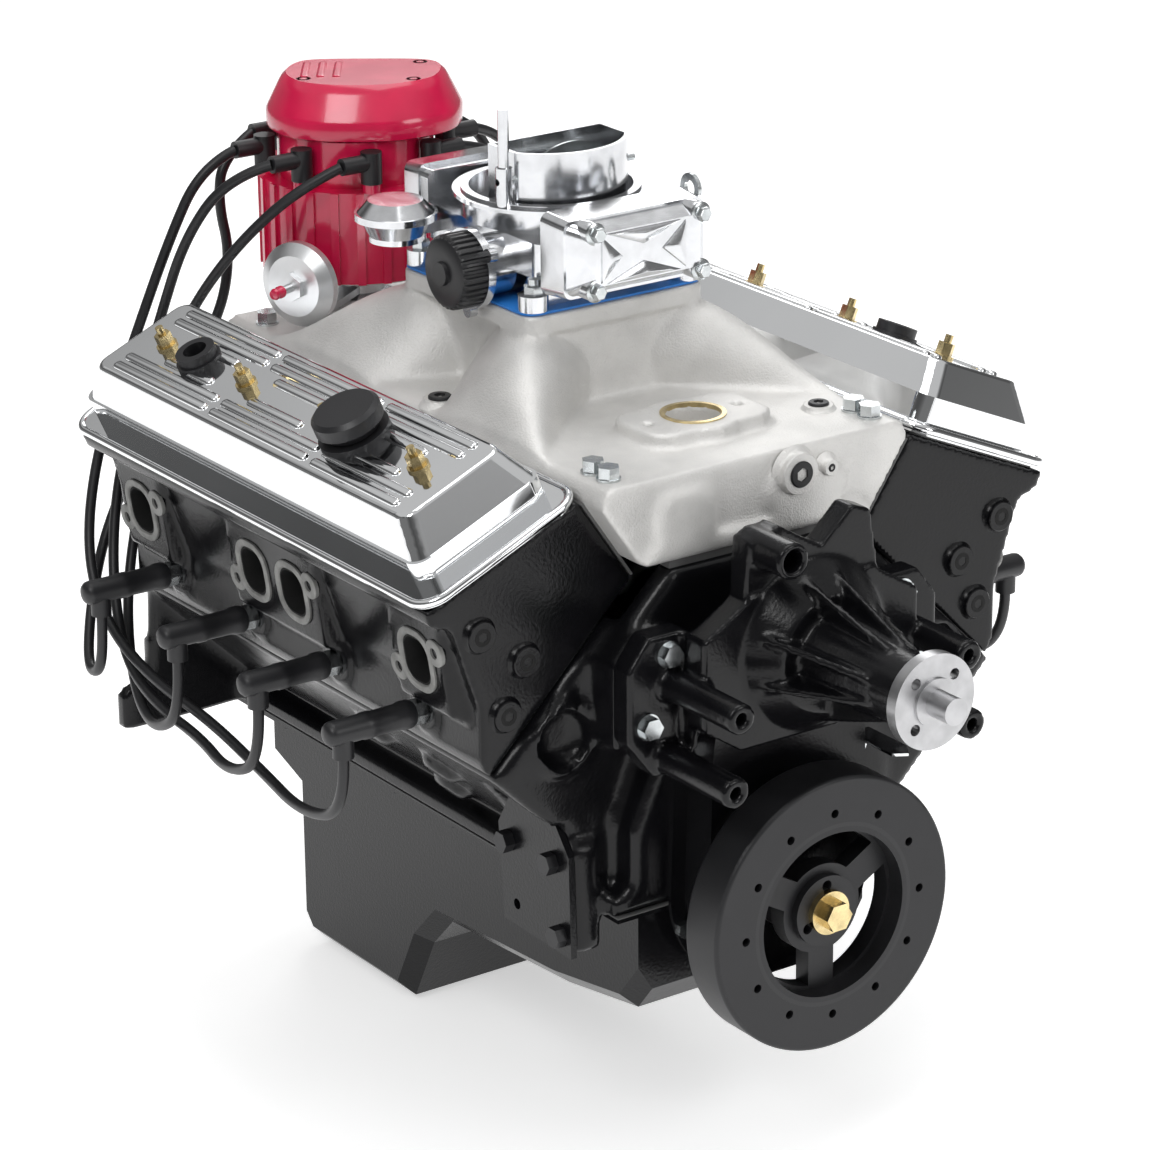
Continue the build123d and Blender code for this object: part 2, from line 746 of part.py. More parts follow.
with BuildPart() as intake_manifold:
    low = (intake_foot - flange_point(0, intake_gasket)[1]) / face_z
    with BuildSketch(section(intake_rear)):
        with BuildLine():
            Polyline((0, intake_foot), flange_point(low, intake_gasket), flange_point(flange_slope - 3, intake_gasket),
                     (128, intake_deck - 3), (122, intake_deck), (0, intake_deck), close=True)
        make_face()
        mirror(about=Plane.YZ)
    extrude(amount=intake_rear - intake_front)
    # Plenum under the carburettor
    with BuildSketch(Plane.XY.offset(intake_deck - 1)):
        with Locations((0, carb_y)):
            RectangleRounded(plenum_width - 26, plenum_length + 6, 16)
    with BuildSketch(Plane.XY.offset(plenum_top - 14)):
        with Locations((0, carb_y)):
            RectangleRounded(plenum_width - 20, plenum_length - 8, 16)
    loft()
    with BuildSketch(Plane.XY.offset(plenum_top - 14)):
        with Locations((0, carb_y)):
            RectangleRounded(plenum_width, plenum_length, 14)
    extrude(amount=14)
    for side in sides.values():
        # Inner end under the carburettor, crown, and outer end at the head
        for spans in (((-345, -268, 370), (-395, -275, 362), (-440, -300, 318)),
                      ((-250, -176, 370), (-232, -118, 360), (-214, -70, 318))):
            arches = [runner_section(side, x, near, far, top)
                      for x, (near, far, top) in zip((30, 88, 127), spans)]
            loft(sections=arches)
    # Thermostat seat
    with BuildSketch(Plane.XY.offset(intake_deck - 2)):
        with Locations((0, thermostat_y)):
            RectangleRounded(106, 62, 18)
            Circle(36)
    extrude(amount=thermostat_top - intake_deck + 2)
    # Arched bosses of the front face
    with BuildSketch(section(intake_front + 4)):
        with Locations((28, 280)):
            Circle(21)
        with Locations((58, 280)):
            Circle(15)
        with Locations((-62, 279)):
            RectangleRounded(46, 40, 12)
        Polygon((-96, intake_foot), (96, intake_foot), (90, intake_foot + 12), (-90, intake_foot + 12), align=None)
    extrude(amount=8)
    with Locations((0, thermostat_y, thermostat_top)):
        Hole(thermostat_bore / 2, depth=34)
    with Locations((-38, thermostat_y, thermostat_top), (38, thermostat_y, thermostat_top)):
        Hole(4, depth=24)
    with Locations(Plane((-75, -432, 290), x_dir=(1, 0, 0), z_dir=(-0.3, -0.75, 0.6))):
        Cylinder(17, 26)
        Cylinder(10, 34, mode=Mode.SUBTRACT)
    with Locations((0, carb_y, plenum_top)):
        with GridLocations(2 * barrel_x, 2 * primary_y, 2, 2):
            Hole(throttle_bore / 2 + 1, depth=46)
    with Locations((distributor_x, distributor_y, 0)):
        Cylinder(neck_radius + 0.3, 400, align=BASE, mode=Mode.SUBTRACT)
intake_manifold.part.label = "intake_manifold"
export_step(intake_manifold.part, "parts/intake_manifold.step")

with BuildPart() as intake_gaskets:
    for side in sides.values():
        with BuildSketch(section(bank_centre(side) + head_length / 2)):
            Polygon(*[(side * x, z) for x, z in (flange_point(2, 0), flange_point(flange_slope - 4, 0),
                    flange_point(flange_slope - 4, intake_gasket), flange_point(2, intake_gasket))], align=None)
        extrude(amount=head_length)

with BuildPart() as intake_seals:
    for rear, depth in ((intake_rear, china_thickness + intake_rear), (pad_rear, pad_rear - intake_front)):
        with BuildSketch(section(rear)):
            with Locations((0, china_height)):
                Rectangle(2 * wall_top - 4, seal_thickness, align=(Align.CENTER, Align.MIN))
        extrude(amount=depth)

intake_bolt = hex_bolt(14, 8)
with BuildPart() as intake_bolts:
    with Locations((-112, -488, intake_deck), (112, -488, intake_deck), (-112, -470, intake_deck),
                   (112, -470, intake_deck), (-112, -46, intake_deck), (112, -46, intake_deck)):
        Cylinder(8.6, 1.6, align=BASE)
        with Locations((0, 0, 1.6)):
            add(intake_bolt)

# Carburettor, from the gasket up
carb_foot = plenum_top + carb_gasket_thickness
body_foot = carb_foot + base_height
shaft_z = carb_foot + 9
with BuildPart() as carb_gasket:
    with BuildSketch(Plane.XY.offset(plenum_top)):
        with Locations((0, carb_y)):
            RectangleRounded(carb_bolt_x + 23, carb_bolt_y + 21, 12)
            with GridLocations(2 * barrel_x, 2 * primary_y, 2, 2):
                Circle(throttle_bore / 2 + 1, mode=Mode.SUBTRACT)
            with GridLocations(carb_bolt_x, carb_bolt_y, 2, 2):
                Circle(4.2, mode=Mode.SUBTRACT)
    extrude(amount=carb_gasket_thickness)
carb_gasket.part.label = "carb_gasket"
export_step(carb_gasket.part, "parts/carb_gasket.step")

with BuildPart() as throttle_body:
    with BuildSketch(Plane.XY.offset(carb_foot)):
        with Locations((0, carb_y)):
            RectangleRounded(112, 128, 8)
            with GridLocations(carb_bolt_x, carb_bolt_y, 2, 2):
                Circle(11)
            with GridLocations(1, carb_bolt_y - 14, 1, 2):
                Rectangle(carb_bolt_x, 12)
    extrude(amount=11.4)
    with BuildSketch(Plane.XY.offset(carb_foot)):
        with Locations((0, carb_y)):
            RectangleRounded(112, 128, 8)
    extrude(amount=base_height)
    with Locations((0, carb_y, body_foot)):
        with GridLocations(2 * barrel_x, 2 * primary_y, 2, 2):
            Hole(throttle_bore / 2, depth=base_height)
    with Locations((0, carb_y, carb_foot + 11.4)):
        with GridLocations(carb_bolt_x, carb_bolt_y, 2, 2):
            Hole(4.2, depth=11.4)
    for y in (carb_y - primary_y, carb_y + primary_y):
        with Locations((0, y, shaft_z)):
            Cylinder(throttle_shaft + running_clearance, 150, rotation=(0, 90, 0), mode=Mode.SUBTRACT)
throttle_body.part.label = "carb_throttle_body"
export_step(throttle_body.part, "parts/carb_throttle_body.step")

carb_nut = hex_bolt(12.7, 6)
with BuildPart() as carb_studs:
    with Locations((0, carb_y, 0)):
        with GridLocations(carb_bolt_x, carb_bolt_y, 2, 2):
            with Locations((0, 0, plenum_top)):
                Cylinder(3.9, 24, align=BASE)
            with Locations((0, 0, carb_foot + 11.4)):
                add(carb_nut)

# Main body: deck with four venturis, the air cleaner ring and the choke horn
deck_top = lip_height - 20
horn_floor = lip_height - 14
horn_middle = carb_y - 26


def horn_outline(grow):
    """The choke tower in plan: flat behind, round in front."""
    half = horn_half + grow
    with BuildSketch(Plane.XY.offset(horn_floor)) as outline:
        with BuildLine():
            Line((-half, carb_y + 4 + grow), (half, carb_y + 4 + grow))
            Line((half, carb_y + 4 + grow), (half, horn_middle))
            ThreePointArc((half, horn_middle), (0, horn_middle - horn_reach - grow), (-half, horn_middle))
            Line((-half, horn_middle), (-half, carb_y + 4 + grow))
        make_face()
    return outline.sketch


with BuildPart() as carb_main_body:
    with BuildSketch(Plane.XY.offset(body_foot)):
        with Locations((0, carb_y)):
            RectangleRounded(122, 2 * carb_body_half, 10)
    extrude(amount=deck_top - body_foot)
    with BuildSketch(Plane.XY.offset(deck_top)):
        with Locations((0, carb_y)):
            Circle(air_cleaner_radius)
    extrude(amount=lip_height - deck_top)
    with BuildSketch(Plane.XY.offset(lip_height - 5)):
        with Locations((0, carb_y)):
            Circle(lip_radius)
    extrude(amount=3)
    with BuildSketch(Plane.XY.offset(horn_floor)):
        with Locations((0, carb_y)):
            Circle(air_cleaner_radius - 6)
    extrude(amount=20, mode=Mode.SUBTRACT)
    extrude(horn_outline(3), amount=horn_top - horn_floor)
    extrude(horn_outline(0), amount=horn_top - horn_floor, mode=Mode.SUBTRACT)
    with Locations((-horn_half - 12, carb_y - 26, lip_height - 4)):
        Cylinder(4, 72, align=BASE)
        Cylinder(6, 30, align=BASE)
    with Locations((0, carb_y, horn_floor)):
        with GridLocations(2 * barrel_x, 2 * primary_y, 2, 2):
            Hole(throttle_bore / 2 - 2, depth=horn_floor - body_foot)
    with Locations((0, carb_y - 26, choke_z)):
        Cylinder(choke_shaft + running_clearance, 160, rotation=(0, 90, 0), mode=Mode.SUBTRACT)
carb_main_body.part.label = "carb_main_body"
export_step(carb_main_body.part, "parts/carb_main_body.step")


def fuel_bowl(front, rear, middle, width, foot, top):
    """A float bowl: a rounded box that narrows away from the carburettor."""
    away = -1 if front < rear and rear < carb_y else 1
    inner, outer = (rear, front) if away < 0 else (front, rear)
    with BuildPart() as bowl:
        with BuildSketch(section(inner)):
            with Locations((middle, (foot + top) / 2)):
                RectangleRounded(width, top - foot, 7)
        with BuildSketch(section(inner + 0.6 * (outer - inner))):
            with Locations((middle, (foot + top) / 2)):
                RectangleRounded(width - 4, top - foot - 4, 7)
        loft()
        with BuildSketch(section(inner + 0.6 * (outer - inner))):
            with Locations((middle, (foot + top) / 2)):
                RectangleRounded(width - 8, top - foot - 8, 7)
        with BuildSketch(section(outer)):
            with Locations((middle, (foot + top) / 2 + 2)):
                RectangleRounded(width - 34, top - foot - 22, 7)
        loft()
    return bowl.part


metering_front = carb_y - carb_body_half
metering_rear = carb_y + carb_body_half
front_bowl = fuel_bowl(bowl_front, metering_front - metering_thickness, -6, bowl_width, 398, 458)
rear_bowl = fuel_bowl(metering_rear + metering_thickness, metering_rear + metering_thickness + 36, 0,
                      bowl_width - 8, 402, 454)
with BuildPart() as fuel_bowls:
    add(front_bowl)
    add(rear_bowl)
fuel_bowls.part.label = "fuel_bowls"
export_step(fuel_bowls.part, "parts/fuel_bowls.step")

with BuildPart() as metering_blocks:
    for rear in (metering_front, metering_rear + metering_thickness):
        with BuildSketch(section(rear)):
            with Locations((0, 428)):
                RectangleRounded(114, 46, 6)
        extrude(amount=metering_thickness)
metering_blocks.part.label = "metering_blocks"
export_step(metering_blocks.part, "parts/metering_blocks.step")

# Electric choke on the passenger side and vacuum diaphragm behind it
with BuildPart() as choke_housing:
    with BuildSketch(Plane.YZ.offset(-61)):
        with Locations((choke_y, choke_cap_z)):
            Circle(22)
    extrude(amount=-22)
    with BuildSketch(Plane.YZ.offset(-83)):
        with Locations((choke_y, choke_cap_z)):
            Circle(29)
            with PolarLocations(31, 3, start_angle=30):
                Circle(5)
    extrude(amount=-6)
choke_housing.part.label = "choke_housing"
export_step(choke_housing.part, "parts/choke_housing.step")

with BuildPart() as choke_cap:
    with BuildSketch(Plane.YZ.offset(-89)):
        with Locations((choke_y, choke_cap_z)):
            Circle(26)
    extrude(amount=-20)
    fillet(choke_cap.faces().sort_by(Axis.X)[0].edges(), 3)
    with BuildSketch(Plane.YZ.offset(-109)):
        with Locations((choke_y, choke_cap_z)):
            Circle(9)
    extrude(amount=-3)
choke_cap.part.label = "choke_cap"
export_step(choke_cap.part, "parts/choke_cap.step")

with BuildPart() as vacuum_diaphragm:
    with Locations((diaphragm_x, diaphragm_y, 409)):
        Cylinder(20, 4, align=BASE)
        with Locations((0, 0, 4)):
            Cone(20, 26, 12, align=BASE)
        with Locations((0, 0, 16)):
            Cylinder(30, 5, align=BASE)
        with Locations((0, 0, 21)):
            Cone(28, 20, 9, align=BASE)
    with Locations((-61, diaphragm_y, 412)):
        Box(30, 18, 8, align=(Align.MAX, Align.CENTER, Align.MIN))
vacuum_diaphragm.part.label = "vacuum_diaphragm"
export_step(vacuum_diaphragm.part, "parts/vacuum_diaphragm.step")


# Moving carburettor pieces: two throttle shafts with their plates, the lever and the choke plate


def throttle(y, near, far):
    """A throttle shaft across the body with its two plates, closed."""
    with BuildPart() as shaft:
        with Locations(((near + far) / 2, y, shaft_z)):
            Cylinder(throttle_shaft, far - near, rotation=(0, 90, 0))
        with Locations((-barrel_x, y, shaft_z), (barrel_x, y, shaft_z)):
            Cylinder(throttle_bore / 2 - 0.2, 1.4)
    return shaft.part


lever_x = 68.0
lever_tip = (-330.0, 449.0)
with BuildPart() as primary_throttle:
    add(throttle(carb_y - primary_y, -60, lever_x + 9))
    with BuildSketch(Plane.YZ.offset(lever_x + 4)):
        with Locations((carb_y - primary_y, shaft_z)):
            Circle(8)
        with Locations(lever_tip):
            Circle(11)
        Polygon((carb_y - primary_y - 7, shaft_z - 4), (carb_y - primary_y + 8, shaft_z + 5),
                (lever_tip[0] + 7, lever_tip[1] + 4), (lever_tip[0] - 8, lever_tip[1] - 5), align=None)
        with Locations(lever_tip):
            Circle(6, mode=Mode.SUBTRACT)
    extrude(amount=3)
primary_throttle.part.label = "primary_throttle"
export_step(primary_throttle.part, "parts/primary_throttle.step")

with BuildPart() as secondary_throttle:
    add(throttle(carb_y + primary_y, -66, 62))
    with BuildSketch(Plane.YZ.offset(-66)):
        with Locations((carb_y + primary_y, shaft_z)):
            Circle(8)
            Rectangle(8, 20, align=(Align.CENTER, Align.MIN))
    extrude(amount=3)
secondary_throttle.part.label = "secondary_throttle"
export_step(secondary_throttle.part, "parts/secondary_throttle.step")

with BuildPart() as choke_plate:
    with Locations((0, horn_middle, choke_z)):
        Cylinder(choke_shaft, 2 * horn_half + 16, rotation=(0, 90, 0))
    with BuildSketch(section(horn_middle + 0.7)):
        with BuildLine():
            Polyline((horn_half - 4, choke_z), (horn_half - 4, choke_z - 27), (4 - horn_half, choke_z - 27),
                     (4 - horn_half, choke_z))
            ThreePointArc((4 - horn_half, choke_z), (0, choke_z + horn_reach - 4), (horn_half - 4, choke_z))
        make_face()
    extrude(amount=1.4)
choke_plate.part.label = "choke_plate"
export_step(choke_plate.part, "parts/choke_plate.step")

# Distributor: housing in the manifold, fluted cap, coil cover, vacuum advance and the turning shaft
axis_place = (distributor_x, distributor_y)
with BuildPart() as distributor_housing:
    with BuildSketch(Plane(origin=(distributor_x, distributor_y, 0), x_dir=(1, 0, 0), z_dir=(0, -1, 0))):
        with BuildLine():
            Polyline((distributor_shaft + running_clearance, 146), (distributor_tail, 146),
                     (distributor_tail, intake_foot), (neck_radius, intake_foot), (neck_radius, intake_deck),
                     (27, intake_deck), (27, intake_deck + 7), (19, intake_deck + 10), (19, 328), (24, 334),
                     (56, 341), (cap_radius - 3, cap_base - 1), (cap_radius - 3, cap_base),
                     (distributor_shaft + running_clearance, cap_base), close=True)
        make_face()
    revolve(axis=Axis((distributor_x, distributor_y, 0), (0, 0, 1)))
distributor_housing.part.label = "distributor_housing"
export_step(distributor_housing.part, "parts/distributor_housing.step")

flutes = 24
with BuildPart() as distributor_cap:
    with BuildSketch(Plane.XY.offset(cap_base)):
        with Locations(axis_place):
            Circle(cap_radius - 2)
            with PolarLocations(cap_radius - 2, flutes):
                Rectangle(5, 6)
    extrude(amount=cap_deck - cap_base)
    with BuildSketch(Plane.XY.offset(cap_deck)):
        with Locations(axis_place):
            Circle(drum_radius)
    extrude(amount=cap_drum_top - cap_deck)
    with BuildSketch(Plane.XY.offset(cap_deck)):
        with Locations(axis_place):
            with PolarLocations(terminal_circle, 8, start_angle=22.5):
                Circle(7)
    extrude(amount=7)
    with BuildSketch(Plane.XY.offset(cap_base)):
        with Locations(axis_place):
            Circle(cap_radius - cap_wall - 2)
    extrude(amount=cap_deck - cap_base - cap_wall, mode=Mode.SUBTRACT)
    with BuildSketch(Plane.XY.offset(cap_base)):
        with Locations(axis_place):
            Circle(drum_radius - cap_wall)
    extrude(amount=cap_drum_top - cap_base - cap_wall, mode=Mode.SUBTRACT)
distributor_cap.part.label = "distributor_cap"
export_step(distributor_cap.part, "parts/distributor_cap.step")

cover_plane = Plane((distributor_x, distributor_y, cap_drum_top), x_dir=(0.821, -0.571, 0), z_dir=(0, 0, 1))
with BuildPart() as coil_cover:
    with BuildSketch(cover_plane):
        Polygon((-67, -8), (-50, -44), (-18, -62), (30, -62), (66, -40), (80, -14), (80, 24), (58, 48),
                (-40, 50), (-62, 28), align=None)
    extrude(amount=16)
    with BuildSketch(cover_plane.offset(16)):
        Polygon((-67, -8), (-50, -44), (-18, -62), (30, -62), (66, -40), (80, -14), (80, 24), (58, 48),
                (-40, 50), (-62, 28), align=None)
    with BuildSketch(cover_plane.offset(cover_top - cap_drum_top)):
        Polygon((-54, -6), (-42, -30), (-14, -44), (26, -44), (54, -30), (66, -10), (66, 20), (50, 36),
                (-34, 38), (-50, 22), align=None)
    loft()
coil_cover.part.label = "coil_cover"
export_step(coil_cover.part, "parts/coil_cover.step")

can_out = (-0.92, -0.39, 0)
arm_foot = intake_deck + 10.2
can_plane = Plane((-104, -86, 352), x_dir=(0, 0, 1), z_dir=can_out)
with BuildPart() as vacuum_advance:
    with BuildSketch(can_plane):
        Circle(can_radius)
    extrude(amount=6)
    with BuildSketch(can_plane.offset(6)):
        Circle(can_radius)
    with BuildSketch(can_plane.offset(12)):
        Circle(can_radius - 9)
    loft()
    with BuildSketch(can_plane.offset(12)):
        RegularPolygon(11, 6)
    extrude(amount=5)
    with BuildSketch(can_plane.offset(17)):
        Circle(3.4)
    extrude(amount=12)
    with BuildSketch(can_plane):
        Circle(can_radius)
    with BuildSketch(can_plane.offset(-8)):
        Circle(can_radius - 12)
    loft()
    with Locations(Plane((-92, -81, arm_foot), x_dir=(0.832, 0.555, 0), z_dir=(0, 0, 1))):
        Box(78, 16, 5.5, align=(Align.MIN, Align.CENTER, Align.MIN))
    with Locations((distributor_x, distributor_y, arm_foot)):
        Cylinder(19, 12, mode=Mode.SUBTRACT)
vacuum_advance.part.label = "vacuum_advance"
export_step(vacuum_advance.part, "parts/vacuum_advance.step")

gear_teeth = 13


def gear_outline(outer, root, teeth):
    """A toothed wheel's outline with straight flanks."""
    points = []
    for tooth in range(teeth):
        for step, radius in ((-0.3, root), (-0.14, outer), (0.14, outer), (0.3, root)):
            turn = 2 * pi * (tooth + step) / teeth
            points.append((radius * cos(turn), radius * sin(turn)))
    return points


with BuildPart() as distributor_rotor:
    with Locations((distributor_x, distributor_y, cam_height + 12)):
        Cylinder(distributor_shaft, 426 - cam_height - 12, align=BASE)
    with BuildSketch(Plane.XY.offset(cam_height - 12)):
        with Locations(axis_place):
            Polygon(*gear_outline(distributor_gear, distributor_gear - 2.6, gear_teeth), align=None)
    extrude(amount=24)
    with BuildSketch(Plane.XY.offset(420)):
        with Locations(axis_place):
            Circle(24)
            Rectangle(46, 14, align=(Align.MIN, Align.CENTER))
    extrude(amount=9)
distributor_rotor.part.label = "distributor_rotor"
export_step(distributor_rotor.part, "parts/distributor_rotor.step")

# Crankshaft: five mains, four crossed throws with counterweights, flange and snout
cheek = 15.5
throw_angles = [rest_turn + 45 + turn for turn in (180, 270, 90, 0)]


def throw_plane(y, index):
    """The section plane turned so that its x axis runs out along one throw."""
    turn = radians(throw_angles[index])
    return Plane(origin=(0, y, 0), x_dir=(cos(turn), 0, sin(turn)), z_dir=(0, -1, 0))


with BuildPart() as crankshaft:
    for index in range(5):
        with BuildSketch(section(rear_main - index * bore_spacing + (bore_spacing - bay_length) / 2 + 0.5)):
            Circle(main_journal / 2)
        extrude(amount=bore_spacing - bay_length + 1)
    for index in range(4):
        for edge in (bay_length / 2 - 0.5, cheek - bay_length / 2 + 0.5):
            with BuildSketch(throw_plane(throw_y(index) + edge, index)):
                Circle(counterweight_radius)
                with Locations((-10, 0)):
                    Rectangle(120, 180, align=(Align.MIN, Align.CENTER), mode=Mode.SUBTRACT)
                Polygon((-11, -66), (-11, 66), (stroke / 2, 36), (stroke / 2, -36), align=None)
                with Locations((stroke / 2, 0)):
                    Circle(37)
            extrude(amount=cheek)
        with BuildSketch(throw_plane(throw_y(index) + bay_length / 2 - 1, index)):
            with Locations((stroke / 2, 0)):
                Circle(crank_pin / 2)
        extrude(amount=bay_length - 2)
    with BuildSketch(section(0)):
        Circle(crank_flange_radius)
    extrude(amount=crank_flange_thickness)
    with BuildSketch(section(-crank_flange_thickness)):
        Circle(main_journal / 2)
    extrude(amount=12)
    with BuildSketch(section(rear_main - 4 * bore_spacing)):
        Circle(snout_radius)
    extrude(amount=rear_main - 4 * bore_spacing - snout_end)
    with Locations(Plane((0, 0, 0), x_dir=(0, 0, 1), z_dir=(0, 1, 0))):
        with PolarLocations(crank_bolt_circle / 2, 6, start_angle=30):
            Hole(5.6, depth=crank_flange_thickness + 2)
        Hole(20, depth=10)
crankshaft.part.label = "crankshaft"
export_step(crankshaft.part, "parts/crankshaft.step")

# Camshaft with sixteen lobes, five journals and the distributor gear
cam_core = 11.0
firing_order = (1, 8, 4, 3, 6, 5, 7, 2)
cam_journals = [-18.0] + [rear_main - index * bore_spacing for index in range(1, 5)]
lobe_width = 11.0
with BuildPart() as camshaft:
    with BuildSketch(section(-bell_thickness - 1)):
        with Locations((0, cam_height)):
            Circle(cam_core)
    extrude(amount=-timing_plane - bell_thickness - 1)
    for y in cam_journals:
        with BuildSketch(section(y + 5.5)):
            with Locations((0, cam_height)):
                Circle(cam_journal / 2)
        extrude(amount=11)
    for side in sides.values():
        for index in range(4):
            cylinder = 7 - 2 * index if side > 0 else 8 - 2 * index
            fires = -45 * firing_order.index(cylinder) + 90 - side * bank_angle
            for shift, lead in ((-valve_offset, 54), (valve_offset, -54)):
                turn = radians(fires + lead)
                nose = lobe_base + lobe_lift - 8
                with BuildSketch(section(bore_y(side, index) + shift + lobe_width / 2)):
                    with Locations((0, cam_height)):
                        Circle(lobe_base)
                    with Locations((nose * cos(turn), cam_height + nose * sin(turn))):
                        Circle(8)
                    make_hull()
                extrude(amount=lobe_width)
    with BuildSketch(section(distributor_y + 9)):
        with Locations((0, cam_height)):
            Polygon(*gear_outline(distributor_gear, distributor_gear - 2.6, gear_teeth), align=None)
    extrude(amount=18)
camshaft.part.label = "camshaft"
export_step(camshaft.part, "parts/camshaft.step")

with BuildPart() as cam_bearings:
    for y in cam_journals:
        with BuildSketch(section(y + 5)):
            with Locations((0, cam_height)):
                Circle(cam_bore / 2)
                Circle(cam_journal / 2 + running_clearance, mode=Mode.SUBTRACT)
        extrude(amount=10)

with BuildPart() as bearings:
    for piece in (main_bearings, cam_bearings):
        add(piece.part)
bearings.part.label = "bearings"
export_step(bearings.part, "parts/bearings.step")

# Pistons at the height that the resting crank gives them
piston_height = 42.0
pin_to_crown = 24.0


def pin_distance(side, index):
    """Distance of a piston pin from the crank axis for the resting crank."""
    swing = radians(throw_angles[index]) - pi / 2 + side * radians(bank_angle)
    reach = stroke / 2
    return reach * cos(swing) + sqrt(rod_length ** 2 - (reach * sin(swing)) ** 2)


with BuildPart() as piston_bodies:
    for side in sides.values():
        for index in range(4):
            crown = pin_distance(side, index) + pin_to_crown
            with BuildSketch(bank_plane(side, bore_y(side, index), crown - piston_height)):
                Circle(bore / 2 - piston_gap)
                Circle(bore / 2 - 7, mode=Mode.SUBTRACT)
            extrude(amount=piston_height)
            with BuildSketch(bank_plane(side, bore_y(side, index), crown - 11)):
                Circle(bore / 2 - piston_gap)
            extrude(amount=11)
            with Locations(bank_plane(side, bore_y(side, index), crown - pin_to_crown)):
                Cylinder(11.8, bore + 4, rotation=(0, 90, 0), mode=Mode.SUBTRACT)

with BuildPart() as piston_pins:
    for side in sides.values():
        for index in range(4):
            with Locations(bank_plane(side, bore_y(side, index), pin_distance(side, index))):
                Cylinder(11.7, bore - 12, rotation=(0, 90, 0))
                Cylinder(7, bore, rotation=(0, 90, 0), mode=Mode.SUBTRACT)

with BuildPart() as pistons:
    for piece in (piston_bodies, piston_pins):
        add(piece.part)
pistons.part.label = "pistons"
export_step(pistons.part, "parts/pistons.step")

# Timing set: toothed sprockets and the chain's loop round them
chain_pitch = 9.5
small_teeth = 18
large_teeth = 2 * small_teeth
crank_sprocket_radius = chain_pitch * small_teeth / (2 * pi)
cam_sprocket_radius = 2 * crank_sprocket_radius


def sprocket_sketch(radius, teeth, height, hub):
    with BuildSketch(section(timing_plane + sprocket_width / 2)) as wheel:
        with Locations((0, height)):
            Polygon(*gear_outline(radius, radius - 3, teeth), align=None)
            Circle(hub, mode=Mode.SUBTRACT)
    return wheel.sketch


with BuildPart() as crank_sprocket:
    extrude(sprocket_sketch(crank_sprocket_radius, small_teeth, 0, snout_radius), amount=sprocket_width)
crank_sprocket.part.label = "crank_sprocket"
export_step(crank_sprocket.part, "parts/crank_sprocket.step")

with BuildPart() as cam_sprocket:
    extrude(sprocket_sketch(cam_sprocket_radius, large_teeth, cam_height, 6), amount=sprocket_width)
    with Locations(Plane((0, timing_plane, cam_height), x_dir=(1, 0, 0), z_dir=(0, -1, 0))):
        with PolarLocations(30, 6):
            Cylinder(9, 2 * sprocket_width, mode=Mode.SUBTRACT)
        Cylinder(cam_core, sprocket_width / 2 + 0.01, align=(Align.CENTER, Align.CENTER, Align.MAX),
                 mode=Mode.SUBTRACT)
cam_sprocket.part.label = "cam_sprocket"
export_step(cam_sprocket.part, "parts/cam_sprocket.step")


def loop_sketch(extra):
    """Both pulleys' circles, grown by extra, with the straight runs between them."""
    with BuildSketch(section(timing_plane + sprocket_width / 2)) as loop:
        Circle(crank_sprocket_radius + extra)
        with Locations((0, cam_height)):
            Circle(cam_sprocket_radius + extra)
        make_hull()
    return loop.sketch


with BuildPart() as timing_chain:
    extrude(loop_sketch(seat_gap + 6), amount=sprocket_width)
    extrude(loop_sketch(seat_gap), amount=sprocket_width, mode=Mode.SUBTRACT)
timing_chain.part.label = "timing_chain"
export_step(timing_chain.part, "parts/timing_chain.step")


cover_flange = 12.0
cover_bolt_out = 7.0


def cover_hull(grow):
    """The timing cover in front view: a pear round both wheels."""
    with BuildSketch(section(-block_length)) as pear:
        with Locations((0, cam_height)):
            Circle(cover_upper + grow)
        with Locations((0, 6)):
            Circle(cover_lower + grow)
        make_hull()
    return pear.sketch


# Timing cover: a pressed pan with its flange on the block and a seal at the hub
with BuildPart() as timing_cover:
    extrude(cover_hull(cover_flange), amount=3)
    extrude(cover_hull(0), amount=timing_cover_depth)
    extrude(cover_hull(-2), amount=timing_cover_depth - 2, mode=Mode.SUBTRACT)
    with BuildSketch(Plane.XY.offset(-rail_clear)):
        with Locations((0, -block_length)):
            Rectangle(300, 200)
    extrude(amount=-100, mode=Mode.SUBTRACT)
    with BuildSketch(section(-block_length)):
        Circle(hub_neck + 0.6)
    extrude(amount=timing_cover_depth, mode=Mode.SUBTRACT)
timing_cover.part.label = "timing_cover"
export_step(timing_cover.part, "parts/timing_cover.step")

# Balancer: spoked hub on the snout, rubber strip and the heavy outer ring
with BuildPart() as balancer_hub:
    with BuildSketch(section(hub_rear)):
        Circle(hub_neck)
        Circle(snout_radius, mode=Mode.SUBTRACT)
    extrude(amount=hub_rear - balancer_front - 8)
    with BuildSketch(section(balancer_rear - 8)):
        Circle(ring_inner - rubber)
        Circle(snout_radius, mode=Mode.SUBTRACT)
    extrude(amount=balancer_rear - 8 - balancer_front - 14)
    with BuildSketch(section(balancer_rear - 8)):
        Circle(ring_inner - rubber)
        Circle(window_outer + 3, mode=Mode.SUBTRACT)
    extrude(amount=balancer_rear - 8 - balancer_front)
    with BuildSketch(section(balancer_rear)):
        with Locations((0, 0)):
            Circle(window_outer)
            Circle(window_inner, mode=Mode.SUBTRACT)
            with PolarLocations((window_outer + window_inner) / 2, 3, start_angle=30):
                Rectangle(40, 22, mode=Mode.SUBTRACT)
    extrude(amount=balancer_rear - balancer_front, mode=Mode.SUBTRACT)
    with Locations(section(balancer_front + 8)):
        with PolarLocations(hub_neck - 7, 3, start_angle=90):
            Hole(4, depth=20)
balancer_hub.part.label = "balancer_hub"
